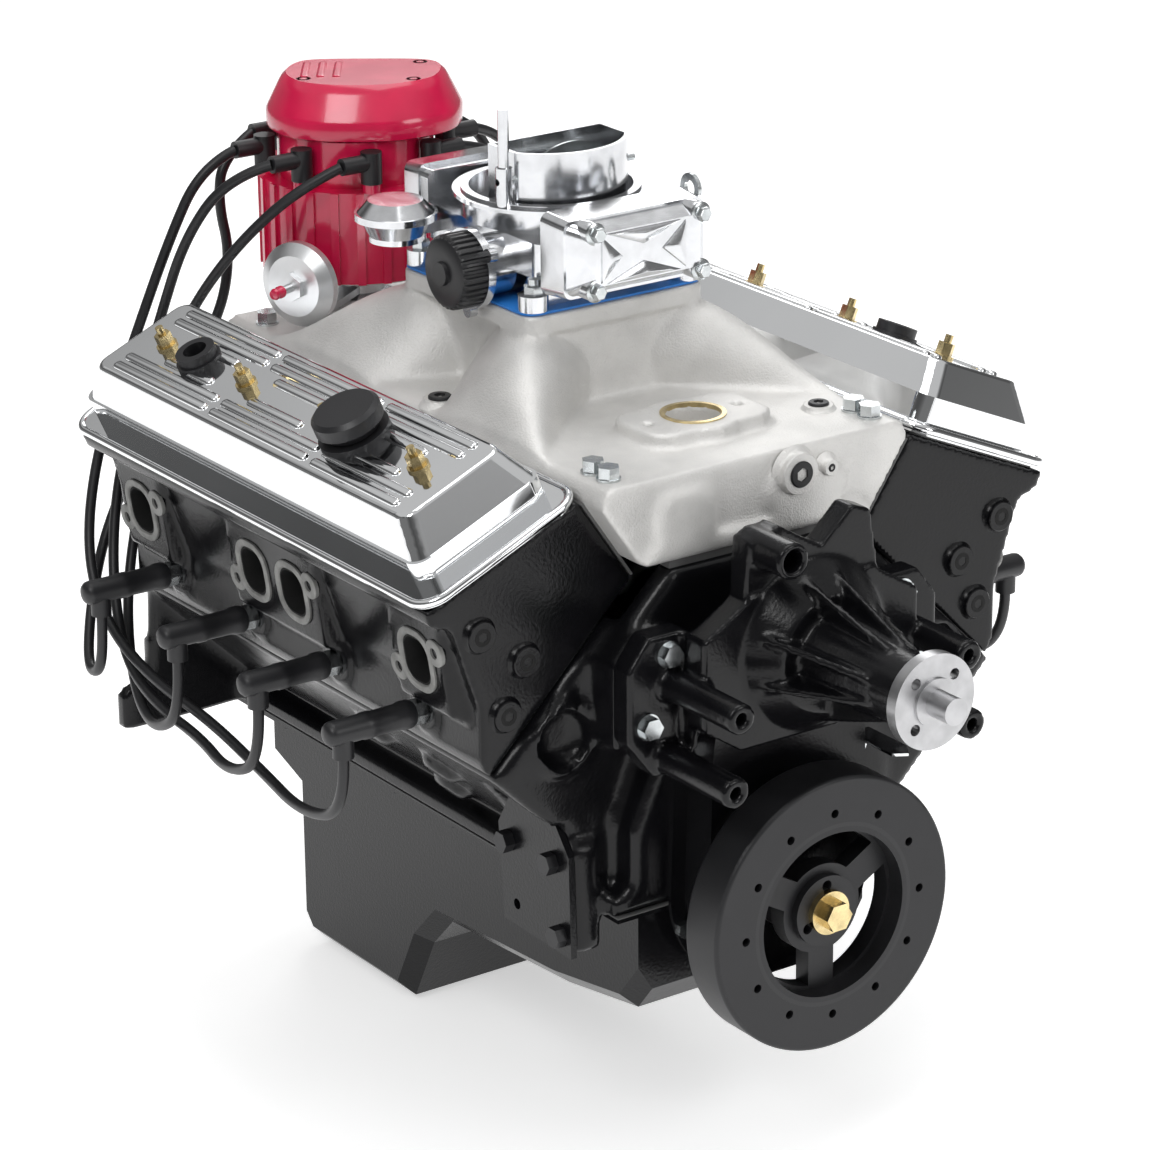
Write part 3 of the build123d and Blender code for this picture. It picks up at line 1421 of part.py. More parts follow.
export_step(balancer_hub.part, "parts/balancer_hub.step")

with BuildPart() as balancer_rubber:
    with BuildSketch(section(balancer_rear - 8)):
        Circle(ring_inner)
        Circle(ring_inner - rubber, mode=Mode.SUBTRACT)
    extrude(amount=balancer_rear - 8 - balancer_front)
balancer_rubber.part.label = "balancer_rubber"
export_step(balancer_rubber.part, "parts/balancer_rubber.step")

with BuildPart() as balancer_ring:
    with BuildSketch(section(balancer_rear)):
        Circle(balancer_radius)
        Circle(ring_inner, mode=Mode.SUBTRACT)
    extrude(amount=balancer_rear - balancer_front)
    fillet(balancer_ring.edges().filter_by(GeomType.CIRCLE).sort_by(SortBy.RADIUS)[-2:], 3)
    with Locations(section(balancer_front)):
        with PolarLocations(ring_inner + 8, 12):
            Hole(3.2, depth=14)
balancer_ring.part.label = "balancer_ring"
export_step(balancer_ring.part, "parts/balancer_ring.step")

with BuildPart() as crank_bolt:
    with BuildSketch(section(balancer_front + 8)):
        Circle(16)
    extrude(amount=5)
    with BuildSketch(section(balancer_front + 3)):
        RegularPolygon(9.5, 6, major_radius=False)
    extrude(amount=10)
crank_bolt.part.label = "crank_bolt"
export_step(crank_bolt.part, "parts/crank_bolt.step")

# Water pump: two legs on the block, volute, ribbed snout and bosses
with BuildPart() as pump_casting:
    for side in sides.values():
        with BuildSketch(section(pump_face)):
            Polygon((side * 84, 128), (side * 96, 112), (side * 112, 112), (side * 133, 140), (side * 133, 192),
                    (side * 116, 214), (side * 84, 214), align=None)
        extrude(amount=leg_thickness)
        with BuildSketch(section(pump_face - leg_thickness + 1)):
            Polygon((side * 84, 130), (side * 90, 130), (side * 88, 168), (side * 89, 214), (side * 84, 214),
                    align=None)
        extrude(amount=14)
        for place in ((side * 97.5, 177), (side * 102, 125)):
            with BuildSketch(section(pump_face - leg_thickness)):
                with Locations(place):
                    Circle(11)
            extrude(amount=80)
            with Locations(section(pump_face - leg_thickness - 80)):
                with Locations(place):
                    Hole(4.5, depth=20)
    with BuildSketch(section(volute_rear)):
        Polygon((-92, 150), (-60, 128), (60, 128), (92, 150), (92, 214), (52, 238), (-52, 238), (-92, 214),
                align=None)
    extrude(amount=22)
    with BuildSketch(section(volute_rear)):
        with Locations((0, pump_height)):
            Circle(volute_radius)
        Polygon((-58, 220), (-54, 278), (-28, 284), (8, 262), (34, 286), (50, 280), (60, 220), align=None)
    extrude(amount=20)
    with BuildSketch(section(volute_rear - 20)):
        with Locations((0, pump_height)):
            Circle(volute_radius)
    with BuildSketch(section(volute_rear - 44)):
        with Locations((0, pump_height)):
            Circle(volute_radius - 20)
    loft()
    with BuildSketch(section(volute_rear - 40)):
        with Locations((0, pump_height)):
            Circle(30)
    with BuildSketch(section(hub_face + hub_thickness + 4)):
        with Locations((0, pump_height)):
            Circle(24)
    loft()
    for turn in (20, 75, 105, 160, 200, 270, 340):
        with BuildSketch(Plane((0, 0, pump_height), x_dir=(cos(radians(turn)), 0, sin(radians(turn))),
                               z_dir=(-sin(radians(turn)), 0, cos(radians(turn))))):
            Polygon((20, volute_rear - 18), (volute_radius - 4, volute_rear - 18), (28, hub_face + 40),
                    (20, hub_face + 40), align=None)
        extrude(amount=2.5, both=True)
    with BuildSketch(section(volute_rear)):
        with Locations((-40, 270)):
            Circle(13)
    extrude(amount=52)
    with Locations(section(volute_rear - 52)):
        with Locations((-40, 270)):
            Hole(8, depth=30)
    with BuildSketch(section(volute_rear)):
        with Locations((0, pump_height)):
            Circle(50)
    extrude(amount=30, mode=Mode.SUBTRACT)
    with Locations(Plane((0, volute_rear, pump_height), x_dir=(1, 0, 0), z_dir=(0, -1, 0))):
        Cylinder(pump_shaft + running_clearance, 200, align=BASE, mode=Mode.SUBTRACT)
    with Locations(section(pump_face - leg_thickness)):
        for side in sides.values():
            with Locations((side * leg_bolt_high[0], leg_bolt_high[1]), (side * leg_bolt_low[0], leg_bolt_low[1])):
                Hole(5, depth=leg_thickness)

pump_casting.part.label = "water_pump_housing"
export_step(pump_casting.part, "parts/water_pump_housing.step")

with BuildPart() as pump_back_plate:
    with BuildSketch(section(volute_rear + back_plate)):
        with Locations((0, pump_height)):
            Circle(volute_radius - 2)
    extrude(amount=back_plate)

pump_back_plate.part.label = "pump_back_plate"
export_step(pump_back_plate.part, "parts/pump_back_plate.step")

with BuildPart() as pump_hub:
    with BuildSketch(section(volute_rear - 6)):
        with Locations((0, pump_height)):
            Circle(pump_shaft)
    extrude(amount=volute_rear - 6 - hub_face)
    with BuildSketch(section(volute_rear - 24)):
        with Locations((0, pump_height)):
            Circle(44)
    extrude(amount=4)
    with BuildSketch(section(volute_rear - 6)):
        with Locations((0, pump_height)):
            with PolarLocations(0, 6):
                Rectangle(43, 4, align=(Align.MIN, Align.CENTER))
    extrude(amount=20)
    with BuildSketch(section(hub_face + hub_thickness)):
        with Locations((0, pump_height)):
            Circle(hub_radius)
    extrude(amount=hub_thickness)
    with BuildSketch(section(hub_face)):
        with Locations((0, pump_height)):
            Circle(17)
    extrude(amount=2)
    with BuildSketch(section(hub_face)):
        with Locations((0, pump_height)):
            Circle(pilot_radius)
    extrude(amount=22)
    with Locations(Plane((0, hub_face, pump_height), x_dir=(1, 0, 0), z_dir=(0, -1, 0))):
        with PolarLocations(hub_circle / 2, 4, start_angle=45):
            Hole(4, depth=hub_thickness)
pump_hub.part.label = "pump_hub"
export_step(pump_hub.part, "parts/pump_hub.step")

pump_bolt = hex_bolt(14, 8, 4.7, leg_thickness + 16)
with BuildPart() as pump_bolts:
    with Locations(section(pump_face - leg_thickness)):
        for side in sides.values():
            with Locations((side * leg_bolt_high[0], leg_bolt_high[1]), (side * leg_bolt_low[0], leg_bolt_low[1])):
                add(pump_bolt)
                Cylinder(9.5, 1.8, align=BASE)

# Oil pan: deep rear sump, sloped step and shallow front under the crank
pan_front = -503.0
pan_rear = -14.0
pan_profile = ((pan_front, 0), (pan_front, -68), (-486, -shallow_depth + 6), (-400, -shallow_depth - 8),
               (sump_front - 22, -shallow_depth - 18), (sump_front + 4, -140), (sump_front + 32, -sump_depth),
               (-58, -sump_depth), (-42, -sump_depth + 18), (-42, -70), (pan_rear, -60), (pan_rear, 0))


def pan_form(inset):
    """The pan's outer form, or its hollow when every wall is drawn in by the sheet."""
    with BuildPart() as form:
        with BuildSketch(Plane.YZ.offset(inset - pan_half)):
            Polygon(*[(y + (inset if y < sump_front + 40 else -inset), z + inset) for y, z in pan_profile], align=None)
        extrude(amount=2 * (pan_half - inset))
        low = form.edges().filter_by(lambda e: e.center().Z < -60 and abs(abs(e.center().X) - pan_half + inset) < 0.1)
        chamfer(low, 12 - inset)
    return form.part


# Room for the crank's flange and snout in the ends of the pan and its gasket
with BuildPart() as crank_arches:
    with BuildSketch(section(0)):
        Circle(crank_flange_radius + 1.5)
    extrude(amount=crank_flange_thickness + 5)
    with BuildSketch(section(-block_length + 18)):
        Circle(main_journal / 2 + 2)
    extrude(amount=18)
with BuildPart() as oil_pan:
    add(pan_form(0))
    with BuildSketch():
        with Locations((0, -block_length / 2)):
            Rectangle(2 * rail_half, block_length)
    extrude(amount=-pan_rail - pan_gasket_thickness)
    add(pan_form(pan_sheet), mode=Mode.SUBTRACT)
    with BuildSketch():
        with Locations((0, -block_length / 2)):
            Rectangle(3 * rail_half, 2 * block_length)
    extrude(amount=-pan_gasket_thickness, mode=Mode.SUBTRACT)
    add(crank_arches.part, mode=Mode.SUBTRACT)
oil_pan.part.label = "oil_pan"
export_step(oil_pan.part, "parts/oil_pan.step")

with BuildPart() as pan_gasket:
    with BuildSketch():
        with Locations((0, -block_length / 2)):
            Rectangle(2 * rail_half, block_length)
        with Locations((0, (pan_front + pan_rear) / 2)):
            Rectangle(2 * pan_half, pan_rear - pan_front, mode=Mode.SUBTRACT)
    extrude(amount=-pan_gasket_thickness)
    add(crank_arches.part, mode=Mode.SUBTRACT)

pan_bolt = hex_bolt(11, 6)
with BuildPart() as pan_bolts:
    with Locations(Plane((0, -block_length / 2, -pan_rail - pan_gasket_thickness), x_dir=(1, 0, 0), z_dir=(0, 0, -1))):
        with GridLocations(2 * rail_half - 25, 78, 2, 6):
            add(pan_bolt)

with BuildPart() as gaskets:
    for piece in (head_gaskets, cover_gaskets, intake_gaskets, intake_seals, pan_gasket):
        add(piece.part)
gaskets.part.label = "gaskets"
export_step(gaskets.part, "parts/gaskets.step")

# Small front pieces: timing cover bolts, timing tab, fuel pump plate with its bolts
cover_screw = hex_bolt(11, 5)
with BuildPart() as timing_cover_bolts:
    with Locations(section(-block_length - 3)):
        with Locations((0, cam_height)):
            with PolarLocations(cover_upper + cover_bolt_out, 5, 0, 180, endpoint=True):
                add(cover_screw)
        with Locations((0, 6)):
            with PolarLocations(cover_lower + cover_bolt_out, 2, -20, 220, endpoint=True):
                add(cover_screw)

with BuildPart() as timing_tab:
    with BuildSketch(section(-block_length - 3)):
        Polygon((74, 66), (84, 66), (92, 88), (92, 92), (74, 92), align=None)
    extrude(amount=2)
    with BuildSketch(Plane.XY.offset(90)):
        Polygon((74, -block_length - 3), (92, -block_length - 3), (92, -560), (84, -572), (74, -566), align=None)
    extrude(amount=2)
timing_tab.part.label = "timing_tab"
export_step(timing_tab.part, "parts/timing_tab.step")

plate_places = ((-478, 38), (-488, -14), (-425, 36))
with BuildPart() as fuel_pump_plate:
    with BuildSketch(Plane.YZ.offset(fuel_pad_face)):
        Polygon(*fuel_pad_outline, align=None)
        with Locations((-434, -10)):
            Circle(4, mode=Mode.SUBTRACT)
    extrude(amount=-fuel_plate_thickness)
fuel_pump_plate.part.label = "fuel_pump_plate"
export_step(fuel_pump_plate.part, "parts/fuel_pump_plate.step")

plate_bolt = hex_bolt(14, 8)
with BuildPart() as plate_bolts:
    with Locations(Plane((fuel_pad_face - fuel_plate_thickness, 0, 0), x_dir=(0, -1, 0), z_dir=(-1, 0, 0))):
        with Locations(*[(-y, z) for y, z in plate_places]):
            add(plate_bolt)

with BuildPart() as black_bolts:
    for piece in (pan_bolts, plate_bolts):
        add(piece.part)
black_bolts.part.label = "black_bolts"
export_step(black_bolts.part, "parts/black_bolts.step")

with BuildPart() as zinc_bolts:
    for piece in (intake_bolts, carb_studs, pump_bolts, timing_cover_bolts):
        add(piece.part)
zinc_bolts.part.label = "zinc_bolts"
export_step(zinc_bolts.part, "parts/zinc_bolts.step")

with BuildPart() as oil_filter:
    with Locations((filter_x, filter_y, 6)):
        Cylinder(filter_radius, filter_length, align=(Align.CENTER, Align.CENTER, Align.MAX))
    fillet(oil_filter.faces().sort_by(Axis.Z)[0].edges(), 8)
oil_filter.part.label = "oil_filter"
export_step(oil_filter.part, "parts/oil_filter.step")

# Spark plugs and their boots: a bore over the porcelain and an elbow that turns down to the lead
plug_places = [(side, bore_y(side, index)) for side in sides.values() for index in range(4)]
plug_hex = hex_bolt(16, 9, plug_thread, 21)
with BuildPart() as spark_plugs:
    for side, y in plug_places:
        with Locations(side_face(side, side * seat_x, y, plug_point[1])):
            add(plug_hex)
            Cylinder(5.5, 42, align=BASE)
spark_plugs.part.label = "spark_plugs"
export_step(spark_plugs.part, "parts/spark_plugs.step")

with BuildPart() as plug_boots:
    for side, y in plug_places:
        with Locations(side_face(side, side * (seat_x + 9), y, plug_point[1])):
            Cylinder(boot_radius, boot_end - seat_x - 9, align=BASE)
        with Locations((side * (boot_end - boot_radius), y, plug_point[1])):
            Cylinder(boot_radius - 1, plug_point[1] - boot_foot, align=(Align.CENTER, Align.CENTER, Align.MAX))
        with Locations(side_face(side, side * seat_x, y, plug_point[1])):
            Cylinder(5.5, 42, align=BASE, mode=Mode.SUBTRACT)


def terminal(index):
    """The cap terminal at one of eight places, counted from the driver's side."""
    turn = radians(22.5 + 45 * index)
    return (distributor_x + terminal_circle * cos(turn), distributor_y + terminal_circle * sin(turn))


def arm_side(index):
    return 1 if terminal(index)[0] > distributor_x else -1


with BuildPart() as cap_boots:
    for index in range(8):
        x, y = terminal(index)
        with Locations((x, y, cap_deck + 7)):
            Cylinder(boot_radius - 0.5, 24, align=BASE)
        with Locations(side_face(arm_side(index), x, y, terminal_z)):
            Cylinder(boot_radius - 2, arm_reach, align=BASE)

with BuildPart() as lead_boots:
    for piece in (plug_boots, cap_boots):
        add(piece.part)
lead_boots.part.label = "lead_boots"
export_step(lead_boots.part, "parts/lead_boots.step")

# Plug leads: routes laid by hand from a cap terminal, behind the head and along under the plugs.
# Each is listed by its cylinder counted from the front: the terminal, then the points between boots.
near_routes = (
    (3, [(-140, -4, 428), (-165, 6, 372), (-196, 12, 296), (-232, 10, 220), (-256, -10, 150),
         (-264, -52, 106), (-262, -115, 82), (-258, -190, 74), (-262, -270, 62), (-278, -350, 62)]),
    (4, [(-140, -42, 428), (-163, -16, 380), (-176, 2, 318), (-200, 8, 245), (-222, 2, 185),
         (-240, -20, 128), (-258, -66, 82), (-266, -128, 66), (-266, -190, 62), (-278, -250, 58)]),
    (5, [(-104, -86, 424), (-134, -56, 386), (-154, -22, 338), (-166, 4, 290), (-182, 6, 232),
         (-202, 3, 172), (-223, -12, 118), (-244, -48, 76), (-262, -95, 54), (-277, -146, 56)]),
    (2, [(-104, 25, 424), (-110, 24, 390), (-104, 19, 350), (-116, 16, 305), (-150, 16, 262),
         (-190, 16, 212), (-226, 10, 160), (-256, -14, 112), (-279, -46, 70)]),
)
# The far leads start differently and then follow the near ones' mirror image: terminal, start, points dropped
far_starts = (
    (0, [(98, -8, 430), (126, -4, 386), (160, -2, 330)], 2),
    (7, [(98, -52, 428), (128, -36, 384)], 2),
    (6, [(62, -93, 430), (92, -78, 402), (120, -56, 366)], 2),
    (1, [(58, 27, 424), (74, 21, 390), (88, 12, 350), (108, 2, 305)], 4),
)


def lead_route(side, index):
    """All the points of one lead, from the cap boot's arm to the foot of the plug boot."""
    if side < 0:
        place, middle = near_routes[index]
    else:
        place, middle, dropped = far_starts[index]
        middle = middle + [(-x, y - bank_offset, z) for x, y, z in near_routes[index][1][dropped:]]
    x, y = terminal(place)
    foot = side * (boot_end - boot_radius)
    end = [(foot, bore_y(side, index), lead_low), (foot, bore_y(side, index), boot_foot)]
    return [(x + arm_side(place) * arm_reach, y, terminal_z)] + middle + end


def route_radii(points):
    """Each corner's arc: as large as its two runs allow."""
    radii = []
    for before, here, after in zip(points, points[1:], points[2:]):
        first = Vector(*here) - Vector(*before)
        second = Vector(*after) - Vector(*here)
        turn = radians(first.get_angle(second))
        radii.append(0.45 * min(first.length, second.length) / tan(turn / 2))
    return radii


for bank, side in sides.items():
    for index in range(4):
        name = f"plug_lead_{bank}_{index + 1}"
        points = lead_route(side, index)
        radii = route_radii(points)
        with BuildPart() as plug_lead:
            with BuildLine() as path:
                FilletPolyline(*points, radius=radii)
            with BuildSketch(Plane(points[0], z_dir=Vector(*points[1]) - Vector(*points[0]))):
                Circle(lead_radius)
            sweep()
        length = sum(edge.length for edge in path.line.edges())
        print(name, "length", round(length), "smallest radius", round(min(radii)),
              "volume over section times length", round(plug_lead.part.volume / (pi * lead_radius ** 2 * length), 4))
        plug_lead.part.label = name
        export_step(plug_lead.part, f"parts/{name}.step")
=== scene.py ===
# %% [markdown]
# # A complete V8 engine
# The engine is painted black iron with chrome rocker covers, a raw cast aluminium manifold, a polished
# carburettor and a red distributor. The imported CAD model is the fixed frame: every piece made here is
# in the same place and in metres, and rides on one of its bodies.

# %% Load the frame
import json
import math
import bmesh
import bpy
import numpy as np
from mathutils import Matrix, Vector


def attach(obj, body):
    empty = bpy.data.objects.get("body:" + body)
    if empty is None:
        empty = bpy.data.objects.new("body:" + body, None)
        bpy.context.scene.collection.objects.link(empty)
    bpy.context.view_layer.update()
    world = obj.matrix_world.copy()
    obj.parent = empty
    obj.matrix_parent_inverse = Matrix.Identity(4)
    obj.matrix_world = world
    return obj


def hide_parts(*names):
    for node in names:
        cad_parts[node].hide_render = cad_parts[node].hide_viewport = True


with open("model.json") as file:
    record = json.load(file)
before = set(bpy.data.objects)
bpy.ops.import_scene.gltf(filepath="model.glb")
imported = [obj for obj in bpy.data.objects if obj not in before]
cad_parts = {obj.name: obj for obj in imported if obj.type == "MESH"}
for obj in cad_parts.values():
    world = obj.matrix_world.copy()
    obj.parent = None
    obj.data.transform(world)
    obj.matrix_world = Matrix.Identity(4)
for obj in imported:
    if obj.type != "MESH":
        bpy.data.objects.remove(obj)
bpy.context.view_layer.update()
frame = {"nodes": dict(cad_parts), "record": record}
nodes = frame["nodes"]

# %% [markdown]
# ## Camera
# The camera was worked out from known sizes of this kind of engine, such as the spacing of its plugs.
# It stands far off with a long lens, which keeps the parallel edges nearly parallel.

# %% Camera at the photograph's angle
azimuth, elevation, roll = np.radians([-34.79, 20.56, -0.577])
target = np.array([0.01959, -0.25907, 0.14257])
distance = 3.2336
focal_pixels, photo_pixels = 4354.3, 1150
back = np.array([math.sin(azimuth) * math.cos(elevation), -math.cos(azimuth) * math.cos(elevation),
                 math.sin(elevation)])
side = np.cross(-back, [0, 0, 1])
side /= np.linalg.norm(side)
up = np.cross(side, -back)
right = side * math.cos(roll) + up * math.sin(roll)
upright = up * math.cos(roll) - side * math.sin(roll)
lens = bpy.data.cameras.new("camera")
lens.sensor_width = 36
lens.lens = 36 * focal_pixels / photo_pixels
lens.shift_x = -0.0008
lens.shift_y = 0.0029
lens.clip_end = 50
camera = bpy.data.objects.new("camera", lens)
bpy.context.collection.objects.link(camera)
spot = target + back * distance
rows = np.column_stack([right, upright, back, spot])
camera.matrix_world = Matrix(rows.tolist() + [[0, 0, 0, 1]])
bpy.context.scene.camera = camera
bpy.context.scene.view_settings.view_transform = "Standard"
print("camera", spot.round(3), "lens", round(lens.lens, 1))

# %% [markdown]
# ## Surfaces from arrays
# Most pieces here are grids of points: one direction runs along the piece and the other goes round it.
# Numpy works out the whole grid at once and Blender gets its points and faces in one go. Several such
# shells can be joined in one piece. Their sizes are in millimetres, as in the CAD model.


# %% Grids, shells and pieces
def shell(points):
    """A grid (rows, columns, 3) as corner points and faces: each face joins neighbours of the grid, the
    last column joins the first, and the last two faces cap the first and last rows."""
    rows, columns = points.shape[:2]
    index = np.arange(rows * columns).reshape(rows, columns)
    index = np.column_stack([index, index[:, 0]])
    quads = np.stack([index[:-1, :-1], index[:-1, 1:], index[1:, 1:], index[1:, :-1]], axis=-1)
    faces = quads.reshape(-1, 4).tolist()
    faces += [index[0, :-1][::-1].tolist(), index[-1, :-1].tolist()]
    return points.reshape(-1, 3), faces


def uncapped(capped):
    """A shell without its two caps, for a profile that comes back to its own start."""
    points, faces = capped
    return points, faces[:-2]


def mesh_of(name, shells):
    """One mesh from several shells; edges sharper than 40 degrees stay sharp."""
    corners, faces, start = [], [], 0
    for points, shell_faces in shells:
        corners.append(points)
        faces += [[start + corner for corner in face] for face in shell_faces]
        start += len(points)
    mesh = bpy.data.meshes.new(name)
    mesh.from_pydata((np.concatenate(corners) / 1000).tolist(), [], faces)
    work = bmesh.new()
    work.from_mesh(mesh)
    bmesh.ops.remove_doubles(work, verts=work.verts, dist=1e-6)
    bmesh.ops.recalc_face_normals(work, faces=work.faces)
    work.to_mesh(mesh)
    work.free()
    mesh.shade_smooth()
    mesh.set_sharp_from_angle(angle=math.radians(40))
    return mesh


def piece(name, shells, material):
    """One object from several shells, in one material and riding on the engine."""
    thing = bpy.data.objects.new(name, mesh_of(name, shells))
    thing.data.materials.append(material)
    bpy.context.collection.objects.link(thing)
    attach(thing, "engine")
    return thing


def base(origin, out):
    """A place to build on: an origin and three axes, the first of them level and the last facing out."""
    out = np.array(out, float) / np.linalg.norm(out)
    first = np.cross((0, 0, 1), out)
    if np.linalg.norm(first) < 1e-6:
        first = np.cross((1, 0, 0), out)
    first /= np.linalg.norm(first)
    return np.array(origin, float), first, np.cross(out, first), out


def put(points, place):
    """Local points carried to a place: origin + x first + y second + z out."""
    origin, first, second, out = place
    return origin + points[..., :1] * first + points[..., 1:2] * second + points[..., 2:] * out


def spot_on(place, x, y):
    """One point of a place's own plane."""
    return put(np.array([[x, y, 0.0]]), place)[0]


def circle(count):
    """Equal steps of angle round a circle, and its points at radius 1."""
    turn = np.linspace(0, 2 * np.pi, count, endpoint=False)
    return turn, np.column_stack([np.cos(turn), np.sin(turn)])


def lathe(profile, place, count=40):
    """A profile of (radius, height) turned round the place's outward axis."""
    profile = np.array(profile, float)
    turn, _ = circle(count)
    points = np.stack([profile[:, :1] * np.cos(turn), profile[:, :1] * np.sin(turn),
                       profile[:, 1:] + 0 * turn], axis=-1)
    return shell(put(points, place))


def loft(levels, place):
    """Outlines with the same count of points, each given as (outline, height), joined in their order."""
    rows = [np.column_stack([outline, np.full(len(outline), height)]) for outline, height in levels]
    return shell(put(np.array(rows), place))


def stack(outline, levels, place):
    """An outline (n, 2) repeated at several levels, each (grow, height): points move outward by grow."""
    outline = np.array(outline, float)
    step = np.roll(outline, -1, axis=0) - np.roll(outline, 1, axis=0)
    normal = np.stack([step[:, 1], -step[:, 0]], axis=-1)
    normal /= np.linalg.norm(normal, axis=1, keepdims=True) + 1e-9
    return loft([(outline + grow * normal, height) for grow, height in levels], place)


def rounded(width, height, radius, count=8, centre=(0, 0)):
    """A rectangle with round corners, each corner a quarter circle of count points."""
    turn = np.linspace(0, np.pi / 2, count)
    corners = [(width / 2 - radius, height / 2 - radius, 0), (radius - width / 2, height / 2 - radius, 1),
               (radius - width / 2, radius - height / 2, 2), (width / 2 - radius, radius - height / 2, 3)]
    parts = [np.stack([x + radius * np.cos(turn + k * np.pi / 2),
                       y + radius * np.sin(turn + k * np.pi / 2)], axis=-1) for x, y, k in corners]
    return np.concatenate(parts) + np.array(centre)


def tube(route, radius, count=14):
    """A circle carried along a route of points, square to it."""
    route = np.array(route, float)
    along = np.gradient(route, axis=0)
    along /= np.linalg.norm(along, axis=1, keepdims=True)
    guide = np.array([0.31, 0.23, 0.92])
    first = np.cross(along, guide)
    first /= np.linalg.norm(first, axis=1, keepdims=True)
    second = np.cross(along, first)
    turn = circle(count)[0][None, :, None]
    return shell(route[:, None] + radius * (np.cos(turn) * first[:, None] + np.sin(turn) * second[:, None]))


# %% [markdown]
# ## Finishes
# Each finish is a small node tree on object coordinates: one noise varies the colour and the gloss over
# centimetres, and a finer one is the grain of the casting, the paint or the plating.


# %% One function for the finishes
def finish(name, colour, metallic=0.0, rough=0.4, spread=0.1, shade=0.2, patch=30, grain=600, bump=0.1,
           depth=0.0002, coat=0.0, detail=4, specular=0.5):
    """A surface whose roughness is rough +- spread and whose colour darkens by shade where the slow
    noise is low; grain is the fine noise's scale, in waves per metre, and bump its strength."""
    material = bpy.data.materials.new(name)
    material.use_nodes = True
    tree = material.node_tree
    look = tree.nodes["Principled BSDF"]
    look.inputs["Metallic"].default_value = metallic
    look.inputs["Coat Weight"].default_value = coat
    look.inputs["Specular IOR Level"].default_value = specular
    look.inputs["Coat Roughness"].default_value = 0.06
    place = tree.nodes.new("ShaderNodeTexCoord")
    slow = tree.nodes.new("ShaderNodeTexNoise")
    slow.inputs["Scale"].default_value = patch
    slow.inputs["Detail"].default_value = 3
    fine = tree.nodes.new("ShaderNodeTexNoise")
    fine.inputs["Scale"].default_value = grain
    fine.inputs["Detail"].default_value = detail
    ramp = tree.nodes.new("ShaderNodeValToRGB")
    ramp.color_ramp.elements[0].position = 0.35
    ramp.color_ramp.elements[1].position = 0.65
    ramp.color_ramp.elements[0].color = [*[c * (1 - shade) for c in colour], 1]
    ramp.color_ramp.elements[1].color = [*colour, 1]
    gloss = tree.nodes.new("ShaderNodeMapRange")
    gloss.inputs["To Min"].default_value = max(rough - spread, 0.02)
    gloss.inputs["To Max"].default_value = rough + spread
    relief = tree.nodes.new("ShaderNodeBump")
    relief.inputs["Strength"].default_value = bump
    relief.inputs["Distance"].default_value = depth
    link = tree.links.new
    link(place.outputs["Object"], slow.inputs["Vector"])
    link(place.outputs["Object"], fine.inputs["Vector"])
    link(slow.outputs["Fac"], ramp.inputs["Fac"])
    link(ramp.outputs["Color"], look.inputs["Base Color"])
    link(slow.outputs["Fac"], gloss.inputs["Value"])
    link(gloss.outputs["Result"], look.inputs["Roughness"])
    link(fine.outputs["Fac"], relief.inputs["Height"])
    link(relief.outputs["Normal"], look.inputs["Normal"])
    return material


iron_paint = finish("iron_paint", (0.005, 0.005, 0.006), rough=0.22, spread=0.06, grain=420, bump=0.35,
                    depth=0.0005, specular=0.3)
chrome = finish("chrome", (0.86, 0.87, 0.88), 1.0, 0.06, 0.02, 0.05, 8, 200, 0.02)
raw_casting = finish("raw_casting", (0.8, 0.79, 0.77), 0.45, 0.5, 0.06, 0.12, 25, 700, 0.8, 0.0007,
                     detail=6)
polished = finish("polished", (0.78, 0.79, 0.81), 1.0, 0.17, 0.06, 0.15, 60, 700, 0.08)
machined = finish("machined", (0.72, 0.72, 0.73), 1.0, 0.26, 0.05, 0.12, 40, 1200, 0.1)
red_cap = finish("red_cap", (0.72, 0.01, 0.075), rough=0.2, spread=0.05, shade=0.15, grain=500, bump=0.08,
                 coat=0.5)
silver = finish("silver", (0.75, 0.76, 0.77), 0.85, 0.32, 0.05, 0.08, 50, 800, 0.06)
moulded = finish("moulded", (0.017, 0.017, 0.019), rough=0.38, spread=0.06, grain=700, bump=0.15)
rubber = finish("rubber", (0.014, 0.014, 0.016), rough=0.42, spread=0.08, grain=900, bump=0.12)
black_iron = finish("black_iron", (0.016, 0.016, 0.018), 0.2, 0.42, 0.06, grain=1100, bump=0.25)
blue_sheet = finish("blue_sheet", (0.02, 0.22, 0.7), rough=0.5, grain=900, bump=0.1)
fibre = finish("fibre", (0.12, 0.12, 0.12), rough=0.8, grain=900, bump=0.3)
zinc = finish("zinc", (0.68, 0.71, 0.72), 1.0, 0.24, 0.06, 0.2, 120, 900, 0.08)
gold = finish("gold", (0.85, 0.68, 0.36), 1.0, 0.25, 0.06, 0.35, 90, 900, 0.08)
steel = finish("steel", (0.55, 0.55, 0.56), 1.0, 0.32, 0.06, 0.2, 60, 900, 0.1)
bare_iron = finish("bare_iron", (0.3, 0.3, 0.29), 0.25, 0.6, 0.08, 0.35, 90, 900, 0.4)
# Painted shade: a near-black matte for the insides of the exhaust ports and the threaded holes.
painted_shade = finish("painted_shade", (0.006, 0.006, 0.006), rough=0.85, spread=0.05, grain=900, bump=0.3)
finishes = {"black_paint": iron_paint, "chrome": chrome, "black_cover": iron_paint,
            "cast_aluminium": raw_casting, "polished_alloy": polished, "machined_alloy": machined,
            "red_plastic": red_cap, "silver_paint": silver, "black_plastic": moulded,
            "black_rubber": rubber, "black_steel": black_iron, "black_iron": black_iron,
            "blue_gasket": blue_sheet, "gasket": fibre, "plug_steel": zinc, "zinc": zinc,
            "brass_plate": gold, "machined_steel": steel, "bearing_alloy": steel}
